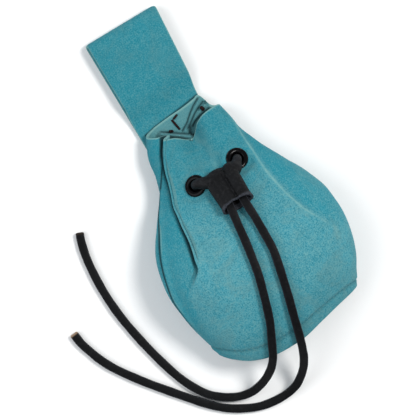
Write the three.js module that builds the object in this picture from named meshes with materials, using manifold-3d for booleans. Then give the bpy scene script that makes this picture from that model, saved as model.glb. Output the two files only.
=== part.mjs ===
// Medieval belt pouch: a gathered suede bag that lies on its back, with a belt loop,
// two eyelets, a leather slider and two free laces.
// Millimetres. X to the right of the pouch, Y towards the belt loop, Z up, floor at Z = 0.
import * as THREE from 'three';
import { mergeVertices } from 'three/addons/utils/BufferGeometryUtils.js';
import Module from 'manifold-3d';

const wasm = await Module();
wasm.setup();

// Driving dimensions
const pouch = { length: 122, width: 96.4, height: 42 };
const suede = 1.6;
const clearance = 0.3;
const foldDepth = 4;
const foldReach = 5.6;
const overlap = 0.7;
const notchDepth = 7;
const notchReach = 7;
const creaseDepth = 1.8;
const creaseReach = 9;
const belt = { width: 40, taper: 0.075, reach: 72, slot: 5.4, turn: 5, shift: 1 };
const beltTop = { across: -0.102, along: 0.998 };
const beltClosing = { from: 0.45, steep: 0.56, flat: 0.6, to: 0.68 };
const eyelet = { outer: 10.7, hole: 5.8, barrel: 0.5, flange: 0.9, washer: 0.7, rolled: 0.5, step: 0.8 };
const pressed = { margin: 1, fade: 3.5 };
const slider = { width: 17.4, height: 7.8, length: 22, wall: 1.3 };
const shoulder = { radius: 2.1, bend: 3.8, below: 2 };
const thong = { width: 4.2, thickness: 3, corner: 0.5 };

// Cross-sections from hem to rim. Y and X are shares of the pouch's length and width,
// top is a share of its height, and lift of the stack of strap ends behind the neck.
const sections = [
  { along: 0.000, side: -0.369, front: -0.481, back: -0.279, left: -0.400, right: 0.417, top: 0.60, lift: 0 },
  { along: 0.046, side: -0.328, front: -0.422, back: -0.250, left: -0.415, right: 0.438, top: 0.74, lift: 0 },
  { along: 0.139, side: -0.246, front: -0.320, back: -0.189, left: -0.455, right: 0.475, top: 0.89, lift: 0 },
  { along: 0.287, side: -0.115, front: -0.156, back: -0.082, left: -0.490, right: 0.510, top: 1.00, lift: 0 },
  { along: 0.435, side: 0.016, front: -0.008, back: 0.033, left: -0.484, right: 0.493, top: 0.97, lift: 0 },
  { along: 0.546, side: 0.115, front: 0.098, back: 0.123, left: -0.452, right: 0.443, top: 0.87, lift: 0 },
  { along: 0.657, side: 0.213, front: 0.205, back: 0.213, left: -0.376, right: 0.369, top: 0.71, lift: 0 },
  { along: 0.741, side: 0.287, front: 0.287, back: 0.287, left: -0.316, right: 0.311, top: 0.585, lift: 0.1 },
  { along: 0.843, side: 0.377, front: 0.377, back: 0.393, left: -0.289, right: 0.247, top: 0.49, lift: 1 },
  { along: 0.917, side: 0.443, front: 0.443, back: 0.475, left: -0.278, right: 0.214, top: 0.44, lift: 1 },
  { along: 1.000, side: 0.516, front: 0.492, back: 0.582, left: -0.239, right: 0.180, top: 0.405, lift: 1 },
];

// The cut rim and the hem, as Y in shares of the length, round the bag from the back over the left
const rim = [
  { around: 0.00, y: 0.584 }, { around: 0.10, y: 0.567 }, { around: 0.20, y: 0.552 },
  { around: 0.30, y: 0.534 }, { around: 0.36, y: 0.521 }, { around: 0.41, y: 0.506 },
  { around: 0.46, y: 0.480 }, { around: 0.50, y: 0.456 }, { around: 0.52, y: 0.475 },
  { around: 0.54, y: 0.503 }, { around: 0.58, y: 0.524 }, { around: 0.66, y: 0.534 },
  { around: 0.75, y: 0.534 }, { around: 0.82, y: 0.537 }, { around: 0.86, y: 0.550 },
  { around: 0.885, y: 0.586 }, { around: 0.905, y: 0.607 }, { around: 0.93, y: 0.600 },
  { around: 1.00, y: 0.584 },
];
const hem = [
  { around: 0.00, y: -0.279 }, { around: 0.12, y: -0.301 }, { around: 0.20, y: -0.339 },
  { around: 0.25, y: -0.369 }, { around: 0.30, y: -0.391 }, { around: 0.35, y: -0.426 },
  { around: 0.40, y: -0.462 }, { around: 0.45, y: -0.481 }, { around: 0.50, y: -0.475 },
  { around: 0.55, y: -0.442 }, { around: 0.60, y: -0.414 }, { around: 0.65, y: -0.395 },
  { around: 0.70, y: -0.381 }, { around: 0.75, y: -0.370 }, { around: 0.80, y: -0.345 },
  { around: 0.88, y: -0.301 }, { around: 1.00, y: -0.279 },
];

// Folds: where each lies round the pouch and how deep it is, in shares of its named depth
const outerFold = [
  { along: 0.00, around: 0.290, depth: 0 }, { along: 0.12, around: 0.290, depth: 0 },
  { along: 0.22, around: 0.295, depth: 0.45 }, { along: 0.38, around: 0.300, depth: 0.62 },
  { along: 0.62, around: 0.300, depth: 0.62 }, { along: 0.75, around: 0.305, depth: 0.45 },
  { along: 0.86, around: 0.310, depth: 0.1 }, { along: 0.92, around: 0.310, depth: 0 },
  { along: 1.00, around: 0.310, depth: 0 },
];
const innerFold = [
  { along: 0.00, around: 0.415, depth: 0 }, { along: 0.29, around: 0.415, depth: 0 },
  { along: 0.40, around: 0.415, depth: 0.5 }, { along: 0.50, around: 0.413, depth: 0.85 },
  { along: 0.60, around: 0.400, depth: 1 }, { along: 0.70, around: 0.380, depth: 1 },
  { along: 0.84, around: 0.373, depth: 1 }, { along: 0.92, around: 0.389, depth: 0.9 },
  { along: 1.00, around: 0.411, depth: 0.85 },
];
const notch = [
  { along: 0.00, around: 0.500, depth: 0 }, { along: 0.50, around: 0.500, depth: 0 },
  { along: 0.62, around: 0.500, depth: 0.1 }, { along: 0.74, around: 0.502, depth: 0.36 },
  { along: 0.84, around: 0.504, depth: 0.66 }, { along: 0.94, around: 0.506, depth: 0.95 },
  { along: 1.00, around: 0.508, depth: 1 },
];
const crease = [
  { along: 0.00, around: 0.640, depth: 0 }, { along: 0.24, around: 0.640, depth: 0 },
  { along: 0.34, around: 0.630, depth: 0.5 }, { along: 0.45, around: 0.605, depth: 0.8 },
  { along: 0.60, around: 0.598, depth: 1 }, { along: 0.72, around: 0.620, depth: 1 },
  { along: 0.88, around: 0.680, depth: 0.7 }, { along: 1.00, around: 0.700, depth: 0.3 },
];

// Places on the wall, as shares round and along it
const eyelets = [
  { name: 'eyelet_left', around: 0.451, along: 0.727 },
  { name: 'eyelet_right', around: 0.566, along: 0.756 },
];
const sliderSeat = {
  top: { around: 0.504, along: 0.714 },
  mouth: { around: 0.512, along: 0.54 },
};
const drawstringSeat = { along: 0.74, middle: 0.47, high: 0.24 };

// Where the free laces run, from the slider over the belly and the floor to the cut ends
const leftRoute = [
  [-0.4, 19.0, 38.3], [-0.5, 15.4, 40.2], [-0.9, 7.3, 41.0], [-1.2, -1.4, 42.8],
  [-1.8, -10.1, 43.9], [-2.6, -18.6, 43.9], [-4.1, -26.7, 42.7], [-5.8, -34.8, 40.7],
  [-7.8, -42.8, 37.6], [-10.5, -50.3, 33.4], [-12.3, -55.0, 30.4], [-14.0, -59.4, 27.2],
  [-16.9, -63.8, 22.4], [-21.1, -67.5, 16.6], [-26.2, -70.2, 10.6], [-32.4, -71.6, 5.4],
  [-39.5, -70.6, 2.2], [-46.1, -67.5, 1.6], [-51.5, -63.4, 1.6], [-56.0, -57.9, 1.6],
  [-60.3, -50.8, 1.6], [-64.0, -42.3, 1.6], [-67.9, -31.5, 1.6], [-71.1, -21.0, 1.6],
  [-73.7, -10.9, 1.6], [-75.5, -1.0, 1.6], [-76.5, 8.3, 1.6], [-76.8, 17.4, 1.6],
  [-76.5, 26.1, 1.6], [-75.2, 34.4, 1.6], [-74.2, 37.8, 1.6],
];
const rightRoute = [
  [7.0, 19.0, 38.3], [7.2, 15.4, 40.2], [8.2, 7.3, 41.0], [8.8, -1.9, 42.7],
  [9.2, -11.0, 43.8], [8.3, -19.5, 43.7], [7.1, -27.8, 42.4], [5.8, -36.0, 40.3],
  [4.3, -44.2, 37.3], [3.1, -51.4, 33.3], [2.2, -56.5, 29.9], [1.1, -61.8, 25.6],
  [-0.4, -66.8, 20.8], [-2.7, -71.3, 15.8], [-6.0, -75.2, 10.8], [-10.0, -78.3, 6.8],
  [-15.8, -80.3, 3.4], [-23.0, -80.9, 1.7], [-31.0, -80.1, 1.6], [-39.1, -77.3, 1.6],
  [-46.8, -73.3, 1.6], [-53.6, -68.0, 1.6], [-60.1, -61.8, 1.6], [-68.1, -53.7, 1.6],
  [-76.2, -45.3, 1.6], [-83.0, -37.6, 1.6], [-88.9, -30.2, 1.6], [-92.8, -23.9, 1.6],
  [-95.5, -18.1, 1.6], [-97.8, -12.5, 1.6], [-99.1, -6.6, 1.6],
];

// Mesh fineness
const stations = [
  0, 0.046, 0.1, 0.17, 0.26, 0.35, 0.44, 0.52, 0.59,
  0.65, 0.7, 0.74, 0.78, 0.82, 0.865, 0.91, 0.955, 1,
];
const sideCounts = { back: 18, outer: 9, middle: 5, inner: 11, left: 12, right: 11, end: 18 };

const materials = {
  suede: () => new THREE.MeshStandardMaterial({ color: 0x4a98a5, roughness: 0.95, metalness: 0 }),
  black: () => new THREE.MeshStandardMaterial({ color: 0x17181a, roughness: 0.55, metalness: 0 }),
  enamel: () => new THREE.MeshStandardMaterial({ color: 0x060607, roughness: 0.18, metalness: 0.6 }),
};

// Value of a table's column at a share, by a smooth curve through its rows
function tableAt(rows, keyName, column, key) {
  const last = rows.length - 1;
  let i = 0;
  while (i < last - 1 && key > rows[i + 1][keyName]) i += 1;
  const slope = (k) => {
    const a = rows[Math.max(k - 1, 0)];
    const b = rows[Math.min(k + 1, last)];
    return (b[column] - a[column]) / (b[keyName] - a[keyName]);
  };
  const p = rows[i];
  const q = rows[i + 1];
  const span = q[keyName] - p[keyName];
  const u = THREE.MathUtils.clamp((key - p[keyName]) / span, 0, 1);
  const u2 = u * u;
  const u3 = u2 * u;
  return p[column] * (2 * u3 - 3 * u2 + 1) + q[column] * (3 * u2 - 2 * u3)
    + slope(i) * span * (u3 - 2 * u2 + u) + slope(i + 1) * span * (u3 - u2);
}

// Height of the two strap ends that lie between the floor and the back of the neck
const strapStack = 2 * suede + 2 * clearance;

function section(along) {
  const at = (column) => tableAt(sections, 'along', column, along);
  const left = at('left') * pouch.width;
  const right = at('right') * pouch.width;
  return {
    centre: (left + right) / 2,
    half: (right - left) / 2,
    top: at('top') * pouch.height,
    lift: THREE.MathUtils.clamp(at('lift'), 0, 1) * strapStack,
    side: at('side') * pouch.length,
    front: at('front') * pouch.length,
    back: at('back') * pouch.length,
  };
}

const squareness = 0.86;
const flatBack = 0.16;

// Y of a section round the bag, higher at the back than at the front
function lineAlong(s, turn) {
  const mean = (s.front + s.back) / 4 + s.side / 2;
  const sag = (s.front + s.back) / 4 - s.side / 2;
  return mean + ((s.back - s.front) / 2) * Math.cos(turn) + sag * Math.cos(2 * turn);
}

// A point of the smooth bag, before its folds; around 0 is the back, 0.25 the left side
function plainPoint(around, along, s = section(along)) {
  const turn = 2 * Math.PI * around;
  const bow = (v) => Math.sign(v) * Math.abs(v) ** squareness;
  const depth = s.top - s.lift;
  const sunk = depth * flatBack;
  const middle = s.lift + (depth - sunk) / 2;
  const head = tableAt(rim, 'around', 'y', around) * pouch.length - lineAlong(section(1), turn);
  const foot = tableAt(hem, 'around', 'y', around) * pouch.length - lineAlong(section(0), turn);
  const nearRim = THREE.MathUtils.smoothstep(along, 0.84, 1);
  const nearHem = 1 - THREE.MathUtils.smoothstep(along, 0, 0.18);
  return new THREE.Vector3(
    s.centre - s.half * bow(Math.sin(turn)),
    lineAlong(s, turn) + head * nearRim + foot * nearHem,
    Math.max(s.lift, middle - ((depth + sunk) / 2) * bow(Math.cos(turn))),
  );
}

function ringLength(along) {
  const s = section(along);
  const a = s.half;
  const b = (s.top - s.lift) / 2;
  return Math.PI * (3 * (a + b) - Math.sqrt((3 * a + b) * (a + 3 * b)));
}

// Shares round the wall at which a ring has its points, closest together at the folds
function ringShares(along) {
  const reach = foldReach / ringLength(along);
  const inner = tableAt(innerFold, 'along', 'around', along);
  const outer = Math.min(tableAt(outerFold, 'along', 'around', along), inner - 2.6 * reach);
  const middle = tableAt(notch, 'along', 'around', along);
  const far = tableAt(crease, 'along', 'around', along);
  const knots = [
    { at: 0, count: sideCounts.back }, { at: outer - reach, count: sideCounts.outer },
    { at: outer + reach, count: sideCounts.middle }, { at: inner - reach, count: sideCounts.inner },
    { at: inner + reach, count: sideCounts.left }, { at: middle, count: sideCounts.right },
    { at: far, count: sideCounts.end }, { at: 1, count: 0 },
  ];
  const shares = [];
  for (let k = 0; k < knots.length - 1; k += 1) {
    for (let j = 0; j < knots[k].count; j += 1) {
      shares.push(THREE.MathUtils.lerp(knots[k].at, knots[k + 1].at, j / knots[k].count));
    }
  }
  return { shares, outer, inner, middle, far };
}

// Outward normals of a ring, in the plane of X and Z
function ringNormals(points) {
  const n = points.length;
  return points.map((p, i) => {
    const before = points[(i + n - 1) % n];
    const after = points[(i + 1) % n];
    return new THREE.Vector3(before.z - after.z, 0, after.x - before.x).normalize();
  });
}

// The lap of one lobe over the next: out and back over the neighbour, then in under it
function lap(distance, reach, depth, laid) {
  const w = distance / reach;
  if (Math.abs(w) >= 1) return { out: 0, along: 0 };
  const wave = Math.sin(Math.PI * w) * (1 - w * w);
  return { out: 0.65 * depth * wave, along: -(reach / Math.PI) * overlap * laid * wave };
}

// One ring of the wall's outer face, with its folds
function outerRing(along) {
  const s = section(along);
  const place = ringShares(along);
  const plain = place.shares.map((a) => plainPoint(a, along, s));
  const normals = ringNormals(plain);
  const arc = [0];
  for (let i = 1; i < plain.length; i += 1) {
    const flat = Math.hypot(plain[i].x - plain[i - 1].x, plain[i].z - plain[i - 1].z);
    arc.push(arc[i - 1] + flat);
  }
  const arcAt = (share) => {
    let i = 0;
    while (i < arc.length - 2 && place.shares[i + 1] < share) i += 1;
    const u = (share - place.shares[i]) / (place.shares[i + 1] - place.shares[i]);
    return THREE.MathUtils.lerp(arc[i], arc[i + 1], u);
  };
  const depthOf = (rows) => Math.max(0, tableAt(rows, 'along', 'depth', along));
  const where = {
    outer: arcAt(place.outer), inner: arcAt(place.inner),
    middle: arcAt(place.middle), far: arcAt(place.far),
  };
  return plain.map((p, i) => {
    const n = normals[i];
    const t = new THREE.Vector3(n.z, 0, -n.x);
    const a = lap(arc[i] - where.outer, foldReach, depthOf(outerFold) * foldDepth, depthOf(outerFold));
    const b = lap(arc[i] - where.inner, foldReach, depthOf(innerFold) * foldDepth, depthOf(innerFold));
    const c = lap(where.far - arc[i], creaseReach, depthOf(crease) * creaseDepth, 0);
    const d = (arc[i] - where.middle) / (notchReach * (arc[i] < where.middle ? 1 : 0.75));
    const dip = -depthOf(notch) * notchDepth * Math.exp(-d * d);
    const out = a.out + b.out + c.out + dip;
    const slide = a.along + b.along;
    return new THREE.Vector3(
      p.x + n.x * out + t.x * slide,
      p.y,
      Math.max(s.lift, p.z + n.z * out + t.z * slide),
    );
  });
}

// The same ring moved inwards by a distance, square to its face
function inset(points, distance) {
  const normals = ringNormals(points);
  return points.map((p, i) => p.clone().addScaledVector(normals[i], -distance));
}

function meshOf(name, geometry, material) {
  geometry.computeVertexNormals();
  const mesh = new THREE.Mesh(geometry, material);
  mesh.name = name;
  return mesh;
}

// A closed body from rings of equal count; without poles, its last ring joins the first
function closedRings(rings, poles) {
  const count = rings[0].length;
  const positions = rings.flat().flatMap((p) => [p.x, p.y, p.z]);
  const index = [];
  const bands = poles ? rings.length - 1 : rings.length;
  for (let r = 0; r < bands; r += 1) {
    const a0 = r * count;
    const b0 = ((r + 1) % rings.length) * count;
    for (let i = 0; i < count; i += 1) {
      const j = (i + 1) % count;
      index.push(a0 + i, b0 + i, b0 + j, a0 + i, b0 + j, a0 + j);
    }
  }
  if (poles) {
    const first = positions.length / 3;
    const last = first + 1;
    positions.push(...poles[0].toArray(), ...poles[1].toArray());
    const end = (rings.length - 1) * count;
    for (let i = 0; i < count; i += 1) {
      const j = (i + 1) % count;
      index.push(first, i, j, last, end + j, end + i);
    }
  }
  const geometry = new THREE.BufferGeometry();
  geometry.setAttribute('position', new THREE.Float32BufferAttribute(positions, 3));
  geometry.setIndex(index);
  return facingOut(geometry);
}

// Turns every face over if the body is inside out
function facingOut(geometry) {
  const p = geometry.getAttribute('position');
  const index = geometry.getIndex();
  const corner = [new THREE.Vector3(), new THREE.Vector3(), new THREE.Vector3()];
  let volume = 0;
  for (let i = 0; i < index.count; i += 3) {
    corner.forEach((c, k) => c.fromBufferAttribute(p, index.getX(i + k)));
    volume += corner[0].dot(corner[1].clone().cross(corner[2]));
  }
  if (volume < 0) {
    for (let i = 0; i < index.count; i += 3) {
      const second = index.getX(i + 1);
      index.setX(i + 1, index.getX(i + 2));
      index.setX(i + 2, second);
    }
  }
  return geometry;
}

function solidOf(geometry) {
  const plain = geometry.clone();
  plain.deleteAttribute('normal');
  plain.deleteAttribute('uv');
  const merged = mergeVertices(plain, 1e-4);
  return new wasm.Manifold(new wasm.Mesh({
    numProp: 3,
    vertProperties: new Float32Array(merged.getAttribute('position').array),
    triVerts: new Uint32Array(merged.getIndex().array),
  }));
}

function geometryOf(solid) {
  const mesh = solid.getMesh();
  const geometry = new THREE.BufferGeometry();
  geometry.setAttribute('position', new THREE.Float32BufferAttribute(mesh.vertProperties, 3));
  geometry.setIndex(Array.from(mesh.triVerts));
  return geometry;
}

// A point of the wall's outer face with its outward normal
function wallPoint(around, along) {
  const pick = (t) => {
    const ring = outerRing(t);
    const { shares } = ringShares(t);
    let i = 0;
    while (i < shares.length - 2 && shares[i + 1] < around) i += 1;
    const u = (around - shares[i]) / (shares[i + 1] - shares[i]);
    return { point: ring[i].clone().lerp(ring[i + 1], u), run: ring[i + 1].clone().sub(ring[i]) };
  };
  const here = pick(along);
  const up = pick(along + 0.02).point.sub(pick(along - 0.02).point);
  const normal = here.run.clone().cross(up).normalize();
  if (normal.z < 0) normal.negate();
  return { point: here.point, normal };
}

// Presses a round flat into both faces of the wall under each eyelet
function pressFlat(points, seats, below) {
  const grip = eyelet.outer / 2 + pressed.margin;
  const fade = grip + pressed.fade;
  return points.map((p) => {
    const moved = p.clone();
    for (const seat of seats) {
      const away = p.clone().sub(seat.point);
      const level = away.dot(seat.normal);
      const spread = away.addScaledVector(seat.normal, -level).length();
      const weight = 1 - THREE.MathUtils.smoothstep(spread, grip, fade);
      if (Math.abs(level) < foldDepth + suede) {
        moved.addScaledVector(seat.normal, (-below - level) * weight);
      }
    }
    return moved;
  });
}

const seats = eyelets.map((e) => wallPoint(e.around, e.along));

function wallFaces() {
  const outer = stations.map(outerRing);
  const inner = outer.map((ring) => inset(ring, suede));
  return {
    outer: outer.map((ring) => pressFlat(ring, seats, 0)),
    inner: inner.map((ring) => pressFlat(ring, seats, suede)),
  };
}

function placed(geometry, point, normal) {
  const turn = new THREE.Quaternion().setFromUnitVectors(new THREE.Vector3(0, 0, 1), normal);
  return geometry.clone().applyQuaternion(turn).translate(point.x, point.y, point.z);
}

// The bag's wall: outer face up to the rim, inner face back down to the hem, holes cut
function pouchWall(faces) {
  let solid = solidOf(closedRings([...faces.outer, ...faces.inner.slice().reverse()]));
  const bore = eyelet.hole / 2 + eyelet.barrel + clearance;
  for (const seat of seats) {
    const drill = new THREE.CylinderGeometry(bore, bore, 4 * suede, 20).rotateX(Math.PI / 2);
    solid = solid.subtract(solidOf(placed(drill, seat.point, seat.normal)));
  }
  return meshOf('pouch_wall', geometryOf(solid), materials.suede());
}

// The oval base: a rim that stands against the hem's inside and a slightly hollow sole
function base(faces) {
  const every = (ring) => ring.filter((p, i) => i % 2 === 0);
  const seatDistance = suede + clearance;
  const foot = faces.outer[0];
  const head = faces.outer[1];
  const outside = [inset(foot, seatDistance), inset(head, seatDistance)].map(every);
  const inside = [inset(foot, seatDistance + suede), inset(head, seatDistance + suede)].map(every);
  const middleOf = (ring) => ring.reduce((a, p) => a.add(p), new THREE.Vector3())
    .divideScalar(ring.length);
  const centre = middleOf(outside[1]);
  const lower = new THREE.Vector3(0, -suede, 0);
  const shrunk = (ring, share, drop) => ring.map((p) => p.clone().lerp(centre, share).add(drop));
  const none = new THREE.Vector3();
  const under = inside[1].map((p) => p.clone().add(lower));
  const rings = [
    shrunk(outside[1], 0.55, none), shrunk(outside[1], 0.12, none), outside[1], outside[0],
    inside[0], under, shrunk(under, 0.12, none), shrunk(under, 0.55, none),
  ];
  const poles = [centre, centre.clone().add(lower)];
  return meshOf('base', closedRings(rings, poles), materials.suede());
}

// The belt loop, from its side: two layers joined by the fold at the top
function beltLoop() {
  const high = 2 * suede + belt.slot;
  const round = high / 2;
  const end = -belt.reach;
  const stack = 2 * suede + clearance;
  const outside = new THREE.Path();
  outside.moveTo(end, 0);
  outside.lineTo(-round, 0);
  outside.absarc(-round, round, round, -Math.PI / 2, Math.PI / 2, false);
  outside.lineTo(-belt.reach * beltClosing.from, high);
  outside.bezierCurveTo(
    -belt.reach * beltClosing.steep, high, -belt.reach * beltClosing.flat, stack,
    -belt.reach * beltClosing.to, stack,
  );
  outside.lineTo(end, stack);
  const inside = new THREE.Path();
  inside.moveTo(end, stack - suede);
  inside.lineTo(-belt.reach * beltClosing.to, stack - suede);
  inside.bezierCurveTo(
    -belt.reach * beltClosing.flat, stack - suede, -belt.reach * beltClosing.steep, high - suede,
    -belt.reach * beltClosing.from, high - suede,
  );
  inside.lineTo(-round, high - suede);
  inside.absarc(-round, round, round - suede, Math.PI / 2, -Math.PI / 2, true);
  inside.lineTo(end, suede);
  const outline = [...outside.getPoints(8), ...inside.getPoints(8)];
  const steps = 4;
  const geometry = new THREE.ExtrudeGeometry(new THREE.Shape(outline), {
    depth: belt.width, steps, bevelEnabled: false, curveSegments: 8,
  });
  const p = geometry.getAttribute('position');
  for (let i = 0; i < p.count; i += 1) {
    const run = p.getX(i);
    const height = p.getY(i);
    const share = p.getZ(i) / belt.width;
    const width = belt.width + run * belt.taper;
    const low = 1 - THREE.MathUtils.smoothstep(height, suede, high - suede);
    p.setXYZ(i, -belt.width / 2 + share * width - belt.shift * low, run, height);
  }
  geometry.rotateZ(THREE.MathUtils.degToRad(belt.turn));
  geometry.translate(beltTop.across * pouch.width, beltTop.along * pouch.length, 0);
  return meshOf('belt_loop', geometry, materials.suede());
}

// A rolled metal eyelet: flange outside, barrel through the hole, washer inside
function eyeletRing(name, seat) {
  const hole = eyelet.hole / 2;
  const barrel = hole + eyelet.barrel;
  const outer = eyelet.outer / 2;
  const inner = outer - eyelet.step;
  const { rolled } = eyelet;
  const foot = clearance;
  const head = foot + eyelet.flange;
  const back = -suede - clearance;
  const washer = back - eyelet.washer;
  const profile = [
    [hole, washer], [hole, head - rolled], [hole + rolled, head], [outer - rolled, head],
    [outer, head - rolled], [outer, foot], [barrel, foot], [barrel, back], [inner, back],
    [inner, washer], [hole, washer],
  ].reverse().map(([r, z]) => new THREE.Vector2(r, z));
  const geometry = new THREE.LatheGeometry(profile, 18).rotateX(Math.PI / 2);
  return meshOf(name, placed(geometry, seat.point, seat.normal), materials.enamel());
}

// A route with its cross-section held level, so that a flat thong lies on its wide side
class LevelRoute extends THREE.CatmullRomCurve3 {
  computeFrenetFrames(segments) {
    const tangents = [];
    const normals = [];
    const binormals = [];
    for (let i = 0; i <= segments; i += 1) {
      const tangent = this.getTangentAt(i / segments);
      const across = new THREE.Vector3(0, 0, 1).cross(tangent).normalize();
      tangents.push(tangent);
      normals.push(across);
      binormals.push(tangent.clone().cross(across));
    }
    return { tangents, normals, binormals };
  }
}

function thongSection() {
  const w = thong.width / 2;
  const h = thong.thickness / 2;
  const cut = thong.corner;
  return new THREE.Shape([
    [w, -h + cut], [w, h - cut], [w - cut, h], [-w + cut, h],
    [-w, h - cut], [-w, -h + cut], [-w + cut, -h], [w - cut, -h],
  ].map(([x, y]) => new THREE.Vector2(x, y)));
}

function lace(name, points) {
  const route = new LevelRoute(points.map((p) => new THREE.Vector3(...p)), false, 'centripetal');
  const geometry = new THREE.ExtrudeGeometry(thongSection(), {
    steps: 60, bevelEnabled: false, extrudePath: route,
  });
  return meshOf(name, geometry, materials.black());
}

const sliderCorner = 0.8;

// How far the front lifts the slider's round underside above a line, over a stretch of it
function riseOver(faces, start, axis, normal, from, to) {
  const across = axis.clone().cross(normal);
  const power = 2 / sliderCorner;
  let rise = -Infinity;
  for (const p of faces.outer.flat()) {
    const away = p.clone().sub(start);
    const run = away.dot(axis);
    const beside = Math.abs(away.dot(across)) / (slider.width / 2);
    if (run > from && run < to && beside < 1) {
      const curve = (slider.height / 2) * (1 - (1 - beside ** power) ** (1 / power));
      rise = Math.max(rise, away.dot(normal) - curve);
    }
  }
  return rise;
}

// Where the slider lies on the front: its axis runs from between the eyelets towards the belly
function sliderFrame(faces) {
  const top = wallPoint(sliderSeat.top.around, sliderSeat.top.along);
  const mouth = wallPoint(sliderSeat.mouth.around, sliderSeat.mouth.along);
  const normal = top.normal.clone().add(mouth.normal).normalize();
  const along = mouth.point.clone().sub(top.point).normalize();
  const half = slider.length / 2;
  const high = riseOver(faces, top.point, along, normal, 0, half);
  const low = riseOver(faces, top.point, along, normal, half, slider.length + 1);
  const start = top.point.clone().addScaledVector(normal, high);
  const end = mouth.point.clone().addScaledVector(normal, low);
  const axis = end.sub(start).normalize();
  normal.addScaledVector(axis, -normal.dot(axis)).normalize();
  const left = riseOver(faces, start, axis, normal, 0, slider.length + 1);
  const origin = start.addScaledVector(normal, left + clearance + slider.height / 2);
  return { origin, axis, normal, across: axis.clone().cross(normal) };
}

// Width and height of the slider from its folded top to its open mouth, as shares
const sliderSections = [
  { run: 0.00, wide: 0.72, high: 0.46 }, { run: 0.05, wide: 0.84, high: 0.66 },
  { run: 0.18, wide: 0.94, high: 0.82 }, { run: 0.45, wide: 1.00, high: 0.90 },
  { run: 0.75, wide: 1.00, high: 0.96 }, { run: 1.00, wide: 0.97, high: 1.00 },
];
const sliderBlind = 0.3;

function sliderRing(frame, run, thickness) {
  const wide = tableAt(sliderSections, 'run', 'wide', run) * slider.width / 2 - thickness;
  const high = tableAt(sliderSections, 'run', 'high', run) * slider.height / 2 - thickness;
  const ring = [];
  for (let i = 0; i < 20; i += 1) {
    const turn = (2 * Math.PI * i) / 20;
    const bow = (v) => Math.sign(v) * Math.abs(v) ** sliderCorner;
    ring.push(frame.origin.clone()
      .addScaledVector(frame.axis, run * slider.length)
      .addScaledVector(frame.across, wide * bow(Math.cos(turn)))
      .addScaledVector(frame.normal, high * bow(Math.sin(turn))));
  }
  return ring;
}

// How far down the slider a shoulder starts, and how deep it reaches through the eyelet
const shoulderRun = 0.16;
const shoulderDepth = suede + shoulder.below;

// The shoulder from the slider's top corner down through an eyelet, square to its seat
function shoulderPath(frame, seat) {
  const inside = frame.origin.clone().addScaledVector(frame.axis, slider.length * shoulderRun);
  const towards = inside.clone().sub(seat.point);
  towards.addScaledVector(seat.normal, -towards.dot(seat.normal)).normalize();
  const base = seat.point.clone();
  const arc = [0, 0.25, 0.5, 0.75, 1].map((u) => {
    const turn = (u * Math.PI) / 2;
    return base.clone()
      .addScaledVector(towards, shoulder.bend * (1 - Math.cos(turn)))
      .addScaledVector(seat.normal, clearance + shoulder.bend * Math.sin(turn));
  });
  const end = base.clone().addScaledVector(seat.normal, -shoulderDepth);
  return new THREE.CatmullRomCurve3([end, ...arc, inside], false, 'centripetal');
}

function polygon(radius, count) {
  const corners = [];
  for (let i = 0; i < count; i += 1) {
    const turn = (2 * Math.PI * i) / count;
    corners.push(new THREE.Vector2(radius * Math.cos(turn), radius * Math.sin(turn)));
  }
  return new THREE.Shape(corners);
}

function sliderSleeve(frame) {
  const runs = sliderSections.map((row) => row.run);
  const outer = runs.map((run) => sliderRing(frame, run, 0));
  const hollow = [1, 0.75, 0.5, sliderBlind].map((run) => sliderRing(frame, run, slider.wall));
  const pole = (run) => frame.origin.clone().addScaledVector(frame.axis, run * slider.length);
  let solid = solidOf(closedRings([...outer, ...hollow], [pole(0), pole(sliderBlind)]));
  for (const seat of seats) {
    const horn = new THREE.ExtrudeGeometry(polygon(shoulder.radius, 10), {
      steps: 12, bevelEnabled: false, extrudePath: shoulderPath(frame, seat),
    });
    solid = solid.add(solidOf(horn));
  }
  return meshOf('slider', geometryOf(solid), materials.black());
}

// The stretch of thong inside the neck, from one shoulder round the back to the other
function drawstring() {
  const s = section(drawstringSeat.along);
  const radius = thong.thickness / 2;
  const middle = s.top * drawstringSeat.middle;
  const wide = s.half - suede - 2 * thong.thickness;
  const high = s.top * drawstringSeat.high;
  const drop = (seat, depth) => seat.point.clone().addScaledVector(seat.normal, -depth);
  const start = shoulderDepth + clearance;
  const round = [0.36, 0.3, 0.25, 0.2, 0.12, 0, 0.88, 0.8, 0.75, 0.7, 0.64].map((around) => {
    const turn = 2 * Math.PI * around;
    return new THREE.Vector3(s.centre - wide * Math.sin(turn), s.side, middle - high * Math.cos(turn));
  });
  const points = [
    drop(seats[0], start), drop(seats[0], start + shoulder.below), ...round,
    drop(seats[1], start + shoulder.below), drop(seats[1], start),
  ];
  const geometry = new THREE.ExtrudeGeometry(polygon(radius, 8), {
    steps: 40, bevelEnabled: false, extrudePath: new THREE.CatmullRomCurve3(points, false, 'centripetal'),
  });
  return meshOf('drawstring', geometry, materials.black());
}

const group = new THREE.Group();
const faces = wallFaces();
group.add(pouchWall(faces));
group.add(base(faces));
group.add(beltLoop());
eyelets.forEach((e, i) => group.add(eyeletRing(e.name, seats[i])));
group.add(sliderSleeve(sliderFrame(faces)));
group.add(drawstring());
group.add(lace('lace_left', leftRoute));
group.add(lace('lace_right', rightRoute));

export default group;
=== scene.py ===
"""Medieval belt pouch: a gathered suede bag lying on its back, its loop, eyelets, slider and laces.

Lengths are millimetres in the tables and metres in the meshes. X is to the right of the pouch,
Y towards the belt loop, Z up from the floor.
"""
import math

import bmesh
import bpy
import numpy as np
from bpy.props import FloatProperty, FloatVectorProperty, PointerProperty
from mathutils import Matrix, Vector


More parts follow.
